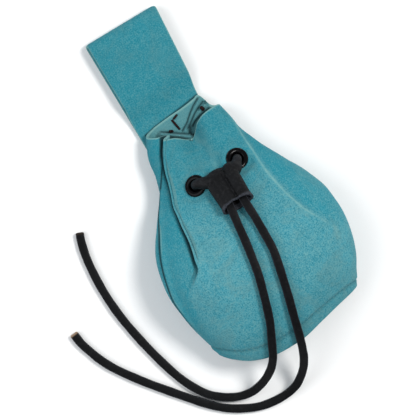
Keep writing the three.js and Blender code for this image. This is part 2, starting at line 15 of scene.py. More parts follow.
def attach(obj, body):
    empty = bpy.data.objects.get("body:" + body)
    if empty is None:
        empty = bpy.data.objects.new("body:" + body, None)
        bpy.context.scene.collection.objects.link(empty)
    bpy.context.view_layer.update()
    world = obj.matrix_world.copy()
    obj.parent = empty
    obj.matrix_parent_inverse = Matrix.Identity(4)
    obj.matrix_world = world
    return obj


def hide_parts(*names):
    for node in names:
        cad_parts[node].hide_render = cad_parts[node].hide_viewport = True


bl_info = {
    "name": "Medieval belt pouch",
    "version": (1, 0, 0),
    "blender": (4, 5, 0),
    "location": "View3D > Sidebar > Pouch",
    "description": "Builds a suede drawstring pouch piece by piece",
    "category": "Object",
}

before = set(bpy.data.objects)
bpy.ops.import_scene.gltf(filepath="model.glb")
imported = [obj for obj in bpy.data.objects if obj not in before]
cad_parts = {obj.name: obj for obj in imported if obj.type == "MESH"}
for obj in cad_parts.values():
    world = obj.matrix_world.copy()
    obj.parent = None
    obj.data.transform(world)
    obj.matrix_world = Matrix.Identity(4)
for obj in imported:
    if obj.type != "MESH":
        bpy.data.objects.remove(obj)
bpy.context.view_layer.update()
MM = 0.001

# Sizes of the real pouch
LENGTH = 122.0
WIDTH = 96.4
HEIGHT = 42.0
STRAP_STACK = 3.8
FOLD_DEPTH = 4.0
FOLD_REACH = 4.4
NOTCH_DEPTH = 7.0
NOTCH_REACH = 7.0
NOTCH_STEEPNESS = 0.75
CREASE_DEPTH = 1.8
CREASE_REACH = 7.0
FOLD_SPACING = 2.6
LAP_RISE = 0.65
OVERLAP = 2.1
SQUARENESS = 0.86
FLAT_BACK = 0.16
EYELET_OUTER = 11.2
EYELET_HOLE = 5.8
EYELET_BORE = 7.2
EYELET_STIFFNESS = 0.7
THONG_WIDTH = 4.2
THONG_THICKNESS = 3.0

# Shares along the wall over which its cut rim and its hem leave the plain cross-sections
RIM_RUN = (0.84, 1)
HEM_RUN = (0, 0.18)


def table(columns, rows):
    """Named columns from the rows of a table."""
    names = columns.split()
    values = np.array(rows, dtype=float)
    return {name: values[:, i] for i, name in enumerate(names)}


# Cross-sections from hem to rim: Y and X in shares of length and width, top of the height
SECTIONS = table("along side front back left right top lift", [
    (0.000, -0.369, -0.481, -0.279, -0.400, 0.417, 0.60, 0),
    (0.046, -0.328, -0.422, -0.250, -0.415, 0.438, 0.74, 0),
    (0.139, -0.246, -0.320, -0.189, -0.455, 0.475, 0.89, 0),
    (0.287, -0.115, -0.156, -0.082, -0.490, 0.510, 1.00, 0),
    (0.435, 0.016, -0.008, 0.033, -0.484, 0.493, 0.97, 0),
    (0.546, 0.115, 0.098, 0.123, -0.452, 0.443, 0.87, 0),
    (0.657, 0.213, 0.205, 0.213, -0.376, 0.369, 0.71, 0),
    (0.741, 0.287, 0.287, 0.287, -0.316, 0.311, 0.585, 0.1),
    (0.843, 0.377, 0.377, 0.393, -0.289, 0.247, 0.49, 1),
    (0.917, 0.443, 0.443, 0.475, -0.278, 0.214, 0.44, 1),
    (1.000, 0.516, 0.492, 0.582, -0.239, 0.180, 0.405, 1),
])

# The cut rim and the hem, as Y in shares of the length, round the bag from the back over the left
RIM = table("around y", [
    (0.00, 0.584), (0.10, 0.567), (0.20, 0.552), (0.30, 0.534), (0.36, 0.521), (0.41, 0.506),
    (0.46, 0.480), (0.50, 0.456), (0.52, 0.475), (0.54, 0.503), (0.58, 0.524), (0.66, 0.534),
    (0.75, 0.534), (0.82, 0.537), (0.86, 0.550), (0.885, 0.586), (0.905, 0.607), (0.93, 0.600), (1.00, 0.584),
])
HEM = table("around y", [
    (0.00, -0.279), (0.12, -0.301), (0.20, -0.339), (0.25, -0.369), (0.30, -0.391), (0.35, -0.426),
    (0.40, -0.462), (0.45, -0.481), (0.50, -0.475), (0.55, -0.442), (0.60, -0.414), (0.65, -0.395),
    (0.70, -0.381), (0.75, -0.370), (0.80, -0.345), (0.88, -0.301), (1.00, -0.279),
])

# Folds: place round the pouch and depth in shares of the fold's own depth
OUTER_FOLD = table("along around depth", [
    (0.00, 0.285, 0), (0.12, 0.285, 0), (0.20, 0.290, 0.4), (0.30, 0.296, 0.7), (0.40, 0.307, 0.75),
    (0.50, 0.314, 0.7), (0.60, 0.310, 0.65), (0.70, 0.284, 0.55), (0.75, 0.272, 0.4), (0.80, 0.282, 0.1),
    (0.88, 0.300, 0), (1.00, 0.300, 0),
])
INNER_FOLD = table("along around depth", [
    (0.00, 0.360, 0), (0.31, 0.360, 0), (0.36, 0.385, 0.15), (0.40, 0.406, 0.5), (0.44, 0.4105, 0.85),
    (0.50, 0.4135, 1), (0.55, 0.4114, 1), (0.60, 0.403, 1), (0.65, 0.392, 1), (0.70, 0.377, 1),
    (0.75, 0.371, 1), (0.80, 0.3725, 1), (0.85, 0.377, 1), (0.90, 0.3935, 1), (0.95, 0.405, 1),
    (1.00, 0.4095, 1),
])
NOTCH = table("along around depth", [
    (0.00, 0.500, 0), (0.50, 0.500, 0), (0.62, 0.500, 0.1), (0.74, 0.502, 0.36),
    (0.84, 0.504, 0.66), (0.94, 0.506, 0.95), (1.00, 0.508, 1),
])
CREASE = table("along around depth", [
    (0.00, 0.660, 0), (0.24, 0.660, 0), (0.30, 0.655, 0.35), (0.35, 0.637, 0.6), (0.45, 0.610, 0.9),
    (0.60, 0.607, 1), (0.70, 0.6206, 1), (0.80, 0.656, 0.9), (0.90, 0.713, 0.6), (1.00, 0.735, 0.2),
])
FOLDS = (OUTER_FOLD, INNER_FOLD, NOTCH, CREASE)

# Painted shade along the line beside the folds at the neck, where both folds meet: X and Y
NECK_SHADE_LINE = [(-16.4, 61.5), (-20.4, 52.6), (-22.6, 48.6), (-25.3, 44.5), (-28.2, 39.8)]
NECK_SHADE_WIDTH = 0.5
NECK_SHADE_ABOVE = 8

# A painted highlight: the lighter streak on the lit slope that runs from the notch down between the eyelets:
# X and Y
STREAK = [(-0.5, 55.0), (0.5, 52.8), (3.0, 48.8), (2.6, 43.0), (2.0, 37.6)]
STREAK_HIGHLIGHT = 0.4
STREAK_WIDTH = 1.5
STREAK_ABOVE = 10

# Tucks of the back panel that show in the mouth: ends in X and Y, height and half width at each end
TUCKS = table("x0 y0 x1 y1 high0 high1 rise decay", [
    (9.8, 73.0, -0.8, 65.3, 2.2, 0.9, 0.5, 2.2),
    (11.6, 69.4, -5.4, 61.0, 2.6, 1.8, 0.5, 2.6),
    (-1.6, 57.6, -15.6, 65.8, 9.0, 6.5, 1.1, 3.2),
])

# Painted shade in the creases and in the hook that the tucks leave in the mouth: X and Y along each
PLEATS = [
    [(8.7, 72.8), (5.4, 70.6), (2.4, 68.0), (-1.2, 64.2), (-5.0, 61.6)],
    [(10.6, 70.2), (7.0, 68.4), (3.8, 66.3), (-0.3, 62.7), (-2.5, 61.2)],
    [(11.8, 65.9), (6.2, 64.5), (2.9, 63.2), (0.4, 61.2)],
]
HOOK = [(-0.8, 62.3), (-2.0, 59.2), (-1.4, 57.0), (0.4, 56.7)]
PLEAT_WIDTH = 0.5
HOOK_WIDTH = 0.9

# Free laces, in millimetres from the slider's mouth over the belly and the floor to the cut ends
LEFT_ROUTE = [
    (-0.4, 19.0, 38.3), (-0.5, 15.4, 40.2), (-0.9, 7.3, 41.0), (-1.2, -1.4, 42.8), (-1.8, -10.1, 43.9),
    (-2.6, -18.6, 43.9), (-4.1, -26.7, 42.7), (-5.8, -34.8, 40.7), (-7.8, -42.8, 37.6),
    (-10.5, -50.3, 33.4), (-12.3, -55.0, 30.4), (-14.0, -59.4, 27.2), (-16.9, -63.8, 22.4),
    (-21.1, -67.5, 16.6), (-26.2, -70.2, 10.6), (-32.4, -71.6, 5.4), (-39.5, -70.6, 2.2),
    (-46.1, -67.5, 1.6), (-51.5, -63.4, 1.6), (-56.0, -57.9, 1.6), (-60.3, -50.8, 1.6),
    (-64.0, -42.3, 1.6), (-67.9, -31.5, 1.6), (-71.1, -21.0, 1.6), (-73.7, -10.9, 1.6),
    (-75.5, -1.0, 1.6), (-76.5, 8.3, 1.6), (-76.8, 17.4, 1.6), (-76.5, 26.1, 1.6), (-75.2, 34.4, 1.6),
    (-74.2, 37.8, 1.6),
]
RIGHT_ROUTE = [
    (7.0, 19.0, 38.3), (7.2, 15.4, 40.2), (8.2, 7.3, 41.0), (8.8, -1.9, 42.7), (9.2, -11.0, 43.8),
    (8.3, -19.5, 43.7), (7.1, -27.8, 42.4), (5.8, -36.0, 40.3), (4.3, -44.2, 37.3), (3.1, -51.4, 33.3),
    (2.2, -56.5, 29.9), (1.1, -61.8, 25.6), (-0.4, -66.8, 20.8), (-2.7, -71.3, 15.8), (-6.0, -75.2, 10.8),
    (-10.0, -78.3, 6.8), (-15.8, -80.3, 3.4), (-23.0, -80.9, 1.7), (-31.0, -80.1, 1.6), (-39.1, -77.3, 1.6),
    (-46.8, -73.3, 1.6), (-53.6, -68.0, 1.6), (-60.1, -61.8, 1.6), (-68.1, -53.7, 1.6), (-76.2, -45.3, 1.6),
    (-83.0, -37.6, 1.6), (-88.9, -30.2, 1.6), (-92.8, -23.9, 1.6), (-95.5, -18.1, 1.6), (-97.8, -12.5, 1.6),
    (-99.1, -6.6, 1.6),
]

# Fineness of the suede wall: points round it in each stretch, and runs along it with their counts
RING_COUNTS = {"back": 100, "outer": 30, "middle": 14, "inner": 50, "left": 36, "right": 40, "end": 56}
STATION_RUNS = [(0, 0.08, 16), (0.08, 0.62, 44), (0.62, 0.85, 24), (0.85, 1, 50)]


class PouchSizes(bpy.types.PropertyGroup):
    suede: FloatProperty(
        name="Suede", description="Thickness of the suede", default=0.0016, unit="LENGTH", subtype="DISTANCE")
    stitch_pitch: FloatProperty(
        name="Stitch pitch", description="Distance from stitch to stitch along the hem",
        default=0.0024, unit="LENGTH", subtype="DISTANCE")
    stitch_length: FloatProperty(
        name="Stitch length", description="Length of one stitch of the hem",
        default=0.0015, unit="LENGTH", subtype="DISTANCE")
    thread: FloatProperty(
        name="Thread", description="Thickness of the sewing thread",
        default=0.00055, unit="LENGTH", subtype="DISTANCE")
    camera_height: FloatProperty(
        name="Camera height", description="Height of the camera over the floor",
        default=1.6, unit="LENGTH", subtype="DISTANCE")


class PouchColours(bpy.types.PropertyGroup):
    suede: FloatVectorProperty(
        name="Suede", description="Main colour of the dyed suede", subtype="COLOR",
        size=3, default=(0.050, 0.252, 0.312))
    suede_deep: FloatVectorProperty(
        name="Suede in the folds", description="Unworn colour of the suede", subtype="COLOR",
        size=3, default=(0.010, 0.198, 0.260))
    suede_worn: FloatVectorProperty(
        name="Worn suede", description="Colour where the nap is rubbed", subtype="COLOR",
        size=3, default=(0.160, 0.350, 0.350))
    leather: FloatVectorProperty(
        name="Leather", description="Colour of the black leather", subtype="COLOR",
        size=3, default=(0.0055, 0.0060, 0.0070))
    thread: FloatVectorProperty(
        name="Thread", description="Colour of the thread at the belt loop", subtype="COLOR",
        size=3, default=(0.014, 0.003, 0.003))
    floor: FloatVectorProperty(
        name="Floor", description="Colour of the floor", subtype="COLOR", size=3, default=(0.86, 0.86, 0.86))


# Shape functions of the bag

def at(rows, column, key):
    """Value of a column where a table's first column has the key, by a smooth curve through its rows."""
    keys = next(iter(rows.values()))
    values = rows[column]
    key = np.asarray(key, dtype=float)
    i = np.clip(np.searchsorted(keys, key, side="left") - 1, 0, len(keys) - 2)
    before = np.clip(np.arange(len(keys)) - 1, 0, None)
    after = np.clip(np.arange(len(keys)) + 1, None, len(keys) - 1)
    slope = (values[after] - values[before]) / (keys[after] - keys[before])
    span = keys[i + 1] - keys[i]
    u = np.clip((key - keys[i]) / span, 0, 1)
    u2 = u * u
    u3 = u2 * u
    return (values[i] * (2 * u3 - 3 * u2 + 1) + values[i + 1] * (3 * u2 - 2 * u3)
            + slope[i] * span * (u3 - 2 * u2 + u) + slope[i + 1] * span * (u3 - u2))


def smoothstep(value, low, high):
    u = np.clip((np.asarray(value, dtype=float) - low) / (high - low), 0, 1)
    return u * u * (3 - 2 * u)


def window(value, low, full, fade, high):
    """Rises from low to full, stays at one and falls from fade to high."""
    return smoothstep(value, low, full) * (1 - smoothstep(value, fade, high))


def bow(value, power=SQUARENESS):
    """A sine or cosine drawn out towards the corners of a square."""
    return np.sign(value) * np.abs(value) ** power


def unit(vectors):
    """Vectors brought to length one."""
    return vectors / np.maximum(np.linalg.norm(vectors, axis=-1, keepdims=True), 1e-9)


def section(along):
    """Measures of one cross-section, in millimetres."""
    left = at(SECTIONS, "left", along) * WIDTH
    right = at(SECTIONS, "right", along) * WIDTH
    return {
        "centre": (left + right) / 2,
        "half": (right - left) / 2,
        "top": at(SECTIONS, "top", along) * HEIGHT,
        "lift": np.clip(at(SECTIONS, "lift", along), 0, 1) * STRAP_STACK,
        **{name: at(SECTIONS, name, along) * LENGTH for name in ("side", "front", "back")},
    }


def line_along(s, turn):
    """Y of a section round the bag, higher at the back than at the front."""
    mean = (s["front"] + s["back"]) / 4 + s["side"] / 2
    sag = (s["front"] + s["back"]) / 4 - s["side"] / 2
    return mean + (s["back"] - s["front"]) / 2 * np.cos(turn) + sag * np.cos(2 * turn)


def plain_ring(around, along):
    """Points of the smooth bag, before its folds; around 0 is the back, 0.25 the left side."""
    s = section(along)
    turn = 2 * np.pi * around
    depth = s["top"] - s["lift"]
    sunk = depth * FLAT_BACK
    middle = s["lift"] + (depth - sunk) / 2
    edge = at(RIM, "y", around) * LENGTH - line_along(section(1.0), turn)
    foot = at(HEM, "y", around) * LENGTH - line_along(section(0.0), turn)
    x = s["centre"] - s["half"] * bow(np.sin(turn))
    y = line_along(s, turn) + edge * smoothstep(along, *RIM_RUN) + foot * (1 - smoothstep(along, *HEM_RUN))
    z = np.maximum(s["lift"], middle - (depth + sunk) / 2 * bow(np.cos(turn)))
    return np.stack([x, y, z], axis=1)


def ring_length(along):
    """Length round the smooth bag, taken as an ellipse."""
    s = section(along)
    a = s["half"]
    b = (s["top"] - s["lift"]) / 2
    return np.pi * (3 * (a + b) - np.sqrt((3 * a + b) * (a + 3 * b)))


def ring_shares(along):
    """Shares round the wall of a ring's points, closest together at the folds."""
    reach = FOLD_REACH / ring_length(along)
    outer, inner, middle, far = [at(rows, "around", along) for rows in FOLDS]
    outer = min(outer, inner - FOLD_SPACING * reach)
    starts = [0, outer - reach, outer + reach, inner - reach, inner + reach, middle, far, 1]
    parts = []
    for k, count in enumerate(RING_COUNTS.values()):
        parts.append(np.linspace(starts[k], starts[k + 1], count, endpoint=False))
    return np.concatenate(parts), outer, inner, middle, far


def flat_normals(points):
    """Outward normals of a ring, in the plane of X and Z."""
    run = np.roll(points, -1, axis=0) - np.roll(points, 1, axis=0)
    return unit(np.stack([-run[:, 2], np.zeros(len(run)), run[:, 0]], axis=1))


def lap(distance, reach, depth, overlap):
    """The lap of one lobe over the next: out over the neighbour, then in under it."""
    w = np.clip(distance / reach, -1, 1)
    wave = np.sin(np.pi * w) * (1 - w * w)
    return LAP_RISE * depth * wave, -(reach / np.pi) * overlap * wave


def bell(distance, width):
    return np.exp(-(distance / width) ** 2)


def line_distance(x, y, line):
    """Distance in X and Y to a line of points."""
    nearest = np.full(np.shape(x), 1e9)
    for (x0, y0), (x1, y1) in zip(line[:-1], line[1:]):
        run_x, run_y = x1 - x0, y1 - y0
        share = np.clip(((x - x0) * run_x + (y - y0) * run_y) / (run_x ** 2 + run_y ** 2), 0, 1)
        nearest = np.minimum(nearest, np.hypot(x - x0 - share * run_x, y - y0 - share * run_y))
    return nearest


def outer_ring(along):
    """One ring of the wall's outer face with its folds, and its shares of each finish."""
    s = section(along)
    shares, *places = ring_shares(along)
    plain = plain_ring(shares, along)
    normals = flat_normals(plain)
    steps = np.linalg.norm(np.diff(plain[:, [0, 2]], axis=0), axis=1)
    arc = np.concatenate([[0], np.cumsum(steps)])
    distances = [arc - np.interp(place, shares, arc) for place in places]
    depths = [float(np.clip(at(rows, "depth", along), 0, 1)) for rows in FOLDS]
    from_outer, from_inner, from_notch, from_crease = distances
    outer, inner, notch, crease = depths
    out_a, slide_a = lap(from_outer, FOLD_REACH, outer * FOLD_DEPTH, outer * OVERLAP)
    out_b, slide_b = lap(from_inner, FOLD_REACH, inner * FOLD_DEPTH, inner * OVERLAP)
    out_c, _ = lap(-from_crease, CREASE_REACH, crease * CREASE_DEPTH, 0)
    notch_width = NOTCH_REACH * np.where(from_notch < 0, 1, NOTCH_STEEPNESS)
    out = out_a + out_b + out_c - notch * NOTCH_DEPTH * bell(from_notch, notch_width)
    tangents = np.stack([normals[:, 2], np.zeros(len(arc)), -normals[:, 0]], axis=1)
    points = plain + normals * out[:, None] + tangents * (slide_a + slide_b)[:, None]
    points[:, 2] = np.maximum(s["lift"], points[:, 2])
    return points, *ring_finish(points, shares, along, distances, depths)


# Millimetres from a fold's line over which its gap gets painted shade and the suede beyond it is deep
OUTER_GAP = (-3.75, -3.05, 1.9, 2.7)
INNER_GAP = (-3.75, -3.05, 0.7, 1.35)
CREASE_SHADE = (0, 2.5, 16, 34)

# Shares round and along the wall over which its left flank and its neck are deep in colour
FLANK_RUN = (0.29, 0.38)
NECK_RUN = (0.52, 0.78)
DEEPNESS = {"lobe": 0.85, "crease": 0.7, "flank": 0.95, "neck": 0.55}
# Strength of the painted shade in the gap of each fold
DARKNESS = {"outer": 1.8, "inner": 1.1}

# Rubbed ridges beside the folds: strength, place and width, in millimetres from the fold's line
OUTER_RIDGE = (0.15, 3.0, 0.8)
INNER_RIDGE = (0.1, 1.9, 0.7)
CREASE_RIDGE = (1.0, -1.2, 0.7)


def ridge(distance, strength, place, width):
    return strength * bell(distance - place, width)


def ring_finish(points, shares, along, distances, depths):
    """Where a ring is rubbed, where it carries a painted highlight, where its colour is deep, and where
    painted shade darkens a fold's gap and the line at the neck.
    """
    from_outer, from_inner, _, from_crease = distances
    outer, inner, _, crease = depths
    x, y, z = points.T
    # Painted highlight along the streak beside the notch
    streak = STREAK_HIGHLIGHT * bell(line_distance(x, y, STREAK), STREAK_WIDTH) * (z > STREAK_ABOVE)
    folds = outer * ridge(from_outer, *OUTER_RIDGE) + inner * ridge(from_inner, *INNER_RIDGE)
    wear_and_highlight = streak + folds + crease * ridge(from_crease, *CREASE_RIDGE)
    lobe = smoothstep(from_outer, 0, 2) * (1 - smoothstep(from_inner, -2, 0))
    beyond = window(from_crease, *CREASE_SHADE)
    folded = DEEPNESS["lobe"] * lobe * max(outer, inner) + DEEPNESS["crease"] * beyond * crease
    flank = DEEPNESS["flank"] * (1 - smoothstep(shares, *FLANK_RUN))
    deep = folded + flank + DEEPNESS["neck"] * smoothstep(along, *NECK_RUN)
    # Painted shade in the gaps of the folds and along the line at the neck
    gap_a = window(from_outer, *OUTER_GAP)
    gap_b = window(from_inner, *INNER_GAP)
    gaps = np.maximum(DARKNESS["outer"] * outer * gap_a, DARKNESS["inner"] * inner * gap_b)
    neck_shade = bell(line_distance(x, y, NECK_SHADE_LINE), NECK_SHADE_WIDTH) * (z > NECK_SHADE_ABOVE)
    dark = np.maximum(gaps, neck_shade)
    return [np.clip(weight, 0, 1) for weight in (wear_and_highlight, deep, dark)]


def grid_normals(grid):
    """Outward normals of a grid of points that closes round its second axis."""
    around = np.roll(grid, -1, axis=1) - np.roll(grid, 1, axis=1)
    along = np.gradient(grid, axis=0)
    normals = unit(np.cross(around, along))
    outward = np.sum(normals[:, :, [0, 2]] * (grid - grid.mean(axis=1, keepdims=True))[:, :, [0, 2]])
    return normals if outward > 0 else -normals


def wall_point(around, along):
    """A point of the wall's outer face with its outward normal."""
    aside, ahead = 0.004, 0.02

    def pick(share):
        points = outer_ring(share)[0]
        shares = ring_shares(share)[0]
        place = np.array([np.interp(around, shares, points[:, k]) for k in range(3)])
        near = np.array([np.interp(around + aside, shares, points[:, k]) for k in range(3)])
        return place, near - place

    here, run = pick(along)
    up = pick(along + ahead)[0] - pick(along - ahead)[0]
    normal = unit(np.cross(run, up))
    return here, normal if normal[2] > 0 else -normal


def press_flat(grid, seats, below):
    """Presses a round flat into a face of the wall under each eyelet."""
    grip = EYELET_OUTER / 2 + 0.6
    fade = 3.5
    reach = 5
    result = grid.copy()
    for place, normal in seats:
        away = grid - place
        level = away @ normal
        spread = np.linalg.norm(away - level[..., None] * normal, axis=-1)
        weight = (1 - smoothstep(spread, grip, grip + fade)) * (np.abs(level) < reach)
        result += ((-below - level) * weight)[..., None] * normal
    return result


def eyelet_seat(around, along, facing):
    """An eyelet's place on the wall, turned most of the way to where the stiff ring faces."""
    place, slope = wall_point(around, along)
    return place, unit((1 - EYELET_STIFFNESS) * slope + EYELET_STIFFNESS * np.array(facing))


EYELET_SEATS = [
    eyelet_seat(around=0.451, along=0.727, facing=(-0.40, 0.25, 0.88)),
    eyelet_seat(around=0.566, along=0.756, facing=(0.26, 0.10, 0.96)),
]


# Mesh helpers

def add_object(name, data):
    thing = bpy.data.objects.new(name, data)
    bpy.context.scene.collection.objects.link(thing)
    return thing


def shade_smooth(mesh):
    mesh.polygons.foreach_set("use_smooth", [True] * len(mesh.polygons))


def mesh_object(name, vertices, faces, material, smooth=True):
    """A piece from vertices in millimetres and lists of corners."""
    mesh = bpy.data.meshes.new(name)
    mesh.from_pydata([tuple(v) for v in np.asarray(vertices) * MM], [], faces)
    mesh.materials.append(material)
    mesh.validate()
    if smooth:
        shade_smooth(mesh)
    mesh.update()
    return add_object(name, mesh)


def set_attribute(piece, name, values):
    layer = piece.data.attributes.new(name, "FLOAT", "POINT")
    layer.data.foreach_set("value", np.asarray(values, dtype=float).ravel())


def outward(piece):
    """Turns a closed piece's faces outwards."""
    work = bmesh.new()
    work.from_mesh(piece.data)
    bmesh.ops.recalc_face_normals(work, faces=work.faces)
    if work.calc_volume(signed=True) < 0:
        bmesh.ops.reverse_faces(work, faces=work.faces)
    work.to_mesh(piece.data)
    work.free()


def band_faces(rows, count, close_rows):
    """Quads between rings of equal count; the last ring may join the first."""
    faces = []
    for r in range(rows if close_rows else rows - 1):
        a = r * count
        b = ((r + 1) % rows) * count
        for i in range(count):
            j = (i + 1) % count
            faces.append((a + i, b + i, b + j, a + j))
    return faces


def swept(name, rings, material):
    """A closed body from rings, with a fan at each end."""
    count = len(rings[0])
    ends = [np.mean(ring, axis=0) for ring in (rings[0], rings[-1])]
    vertices = np.concatenate([*rings, ends])
    faces = band_faces(len(rings), count, close_rows=False)
    first = len(vertices) - 2
    end = (len(rings) - 1) * count
    for i in range(count):
        j = (i + 1) % count
        faces.append((first, i, j))
        faces.append((first + 1, end + j, end + i))
    piece = mesh_object(name, vertices, faces, material)
    outward(piece)
    return piece


def between(a, b, low, high, t):
    """The point between a and b where t lies from low to high."""
    return (high - t) / (high - low) * a + (t - low) / (high - low) * b


def smooth_path(points, step):
    """A centripetal curve through points, walked in even steps."""
    p = np.asarray(points, dtype=float)
    q = np.concatenate([[2 * p[0] - p[1]], p, [2 * p[-1] - p[-2]]])
    dense = []
    for i in range(1, len(q) - 2):
        a, b, c, d = q[i - 1], q[i], q[i + 1], q[i + 2]
        t0 = 0.0
        t1 = t0 + math.sqrt(np.linalg.norm(b - a))
        t2 = t1 + math.sqrt(np.linalg.norm(c - b))
        t3 = t2 + math.sqrt(np.linalg.norm(d - c))
        for t in np.linspace(t1, t2, 24, endpoint=False):
            a1 = between(a, b, t0, t1, t)
            a2 = between(b, c, t1, t2, t)
            a3 = between(c, d, t2, t3, t)
            b1 = between(a1, a2, t0, t2, t)
            b2 = between(a2, a3, t1, t3, t)
            dense.append(between(b1, b2, t1, t2, t))
    dense.append(p[-1])
    dense = np.array(dense)
    run = np.concatenate([[0], np.cumsum(np.linalg.norm(np.diff(dense, axis=0), axis=1))])
    count = max(2, int(round(run[-1] / step)) + 1)
    even = np.linspace(0, run[-1], count)
    return np.stack([np.interp(even, run, dense[:, k]) for k in range(3)], axis=1), float(run[-1])


def path_frames(path):
    """Tangent, sideways and upward directions at each point of a path."""
    tangent = unit(np.gradient(path, axis=0))
    across = unit(np.cross([0.0, 0.0, 1.0], tangent))
    return tangent, across, np.cross(tangent, across)


def ride_for(piece, slot, *nodes):
    """Fixes a piece to the pouch and hides the nodes that it stands for; slot is not used."""
    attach(piece, "root")
    if nodes:
        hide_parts(*nodes)


# Materials

SOIL = (0.125, 0.205, 0.185, 1.0)
# Painted shade laid over the suede towards the neck and the bottom
NECK_AND_BOTTOM_SHADE = (0.0, 0.080, 0.098, 1.0)
CUT_SUEDE = (0.22, 0.40, 0.37, 1.0)
FOLD_SHADE = (0.004, 0.018, 0.022, 1.0)
SCUFFED_LEATHER = (0.030, 0.031, 0.034, 1.0)
LEATHER_WEAR_AND_HIGHLIGHT = (0.050, 0.055, 0.070, 1.0)
RAW_LEATHER = (0.32, 0.22, 0.15, 1.0)
LACQUER_DARK = (0.0015, 0.0015, 0.0018, 1.0)
LACQUER_PALE = (0.003, 0.003, 0.0035, 1.0)
CHIPPED_LACQUER = (0.16, 0.10, 0.09, 1.0)
HEM_THREAD = (0.035, 0.20, 0.25)
NAP_SHEEN = (0.55, 0.85, 0.88, 1.0)


class Nodes:
    """A short way to write a material's nodes."""

    def __init__(self, name):
        self.material = bpy.data.materials.new(name)
        self.material.use_nodes = True
        self.tree = self.material.node_tree
        self.shader = self.tree.nodes["Principled BSDF"]

    def add(self, kind, inputs=None, **settings):
        node = self.tree.nodes.new(kind)
        for key, value in settings.items():
            setattr(node, key, value)
        for key, value in (inputs or {}).items():
            self.put(node.inputs[key], value)
        return node

    def put(self, socket, value):
        if isinstance(value, bpy.types.NodeSocket):
            self.tree.links.new(value, socket)
        else:
            socket.default_value = value

    def noise(self, place, scale, detail=3.0, rough=0.55, distortion=0.0):
        return self.add("ShaderNodeTexNoise", {
            "Vector": place, "Scale": scale, "Detail": detail, "Roughness": rough,
            "Distortion": distortion}).outputs["Fac"]

    def ramp(self, value, low, high, out_low=0.0, out_high=1.0):
        return self.add("ShaderNodeMapRange", {
            "Value": value, "From Min": low, "From Max": high, "To Min": out_low,
            "To Max": out_high}).outputs["Result"]

    def mix(self, share, first, second):
        node = self.add("ShaderNodeMix", data_type="RGBA")
        self.put(node.inputs[0], share)
        self.put(node.inputs[6], first)
        self.put(node.inputs[7], second)
        return node.outputs[2]

    def tint(self, colour, mask, share, over):
        """The colour, with a share of another laid over it where the mask is."""
        return self.mix(self.math("MULTIPLY", mask, share), colour, over)

    def math(self, kind, first, second):
        return self.add("ShaderNodeMath", {0: first, 1: second}, operation=kind).outputs[0]

    def attribute(self, name):
        return self.add("ShaderNodeAttribute", attribute_name=name).outputs["Fac"]

    def bump(self, height, distance, strength=1.0, normal=None):
        inputs = {"Height": height, "Distance": distance, "Strength": strength}
        if normal is not None:
            inputs["Normal"] = normal
        return self.add("ShaderNodeBump", inputs).outputs["Normal"]

    def surface(self, inputs):
        """Feeds the shader and gives the finished material."""
        for key, value in inputs.items():
            self.put(self.shader.inputs[key], value)
        return self.material


def rgba(colour, factor=1.0):
    return (colour[0] * factor, colour[1] * factor, colour[2] * factor, 1.0)


def suede_material(name):
    """Dyed suede: mottled nap, fine grain, rubbed ridges, paler flesh side and cut edges, with painted shade
    in the fold gaps, the mouth's creases, under the bag's rim and towards the neck and bottom, and a painted
    highlight streak.
    """
    colours = bpy.context.scene.pouch_colours
    n = Nodes(name)
    place = n.add("ShaderNodeTexCoord").outputs["Object"]
    y = n.add("ShaderNodeSeparateXYZ", {0: place}).outputs["Y"]
    clouds = n.noise(place, 42, 4, 0.6, 0.4)
    soil = n.noise(place, 46, 6, 0.72, 1.0)
    mottle = n.noise(place, 260, 5, 0.65, 0.3)
    nap = n.noise(place, 620, 4, 0.7, 0.5)
    grain = n.noise(place, 1500, 3, 0.7)
    fibre = n.noise(place, 3200, 2, 0.6)
    # Painted shade: the colour darkens towards the neck and towards the bottom of the bag
    neck_and_bottom_shade = n.math("MAXIMUM", n.ramp(y, 0.022, 0.046, 0.0, 0.26), n.ramp(y, -0.018, -0.050, 0.0, 0.20))
    colour = n.mix(n.ramp(clouds, 0.32, 0.68), rgba(colours.suede, 0.92), rgba(colours.suede, 1.18))
    colour = n.tint(colour, n.attribute("deep"), 0.85, rgba(colours.suede_deep))
    colour = n.tint(colour, n.ramp(mottle, 0.46, 0.70), 0.34, rgba(colours.suede_worn))
    colour = n.tint(colour, n.ramp(nap, 0.48, 0.34), 0.25, rgba(colours.suede_deep, 0.75))
    colour = n.tint(colour, n.ramp(nap, 0.54, 0.70), 0.18, rgba(colours.suede_worn, 1.05))
    colour = n.tint(colour, n.ramp(grain, 0.50, 0.66), 0.70, rgba(colours.suede_worn, 0.95))
    colour = n.tint(colour, n.ramp(grain, 0.50, 0.35), 0.75, rgba(colours.suede_deep, 0.62))
    colour = n.tint(colour, n.ramp(soil, 0.48, 0.68), 0.34, SOIL)
    colour = n.mix(neck_and_bottom_shade, colour, NECK_AND_BOTTOM_SHADE)
    colour = n.tint(colour, n.attribute("deep"), 0.4, rgba(colours.suede_deep, 1.1))
    # The rubbed tint carries both real wear on the ridges and the painted highlight of the streak
    rubbed = n.ramp(mottle, 0.30, 0.60, 0.35, 0.85)
    colour = n.tint(colour, n.attribute("wear_and_highlight"), rubbed, rgba(colours.suede_worn, 1.05))
    colour = n.tint(colour, n.attribute("inside"), 0.45, rgba(colours.suede_worn, 0.68))
    colour = n.tint(colour, n.attribute("cut"), 0.6, CUT_SUEDE)
    # The dark attribute: painted shade in fold gaps, in the mouth's creases and under the bag's rim, and the
    # darker seam line
    colour = n.tint(colour, n.attribute("dark"), 0.95, FOLD_SHADE)
    coarse = n.bump(mottle, 0.0006, 0.35)
    return n.surface({
        "Base Color": colour, "Roughness": n.ramp(grain, 0.3, 0.7, 0.85, 1.0), "Specular IOR Level": 0.12,
        "Sheen Weight": 0.12, "Sheen Roughness": 0.5, "Sheen Tint": NAP_SHEEN,
        "Normal": n.bump(n.math("ADD", grain, fibre), 0.00022, 0.55, coarse)})


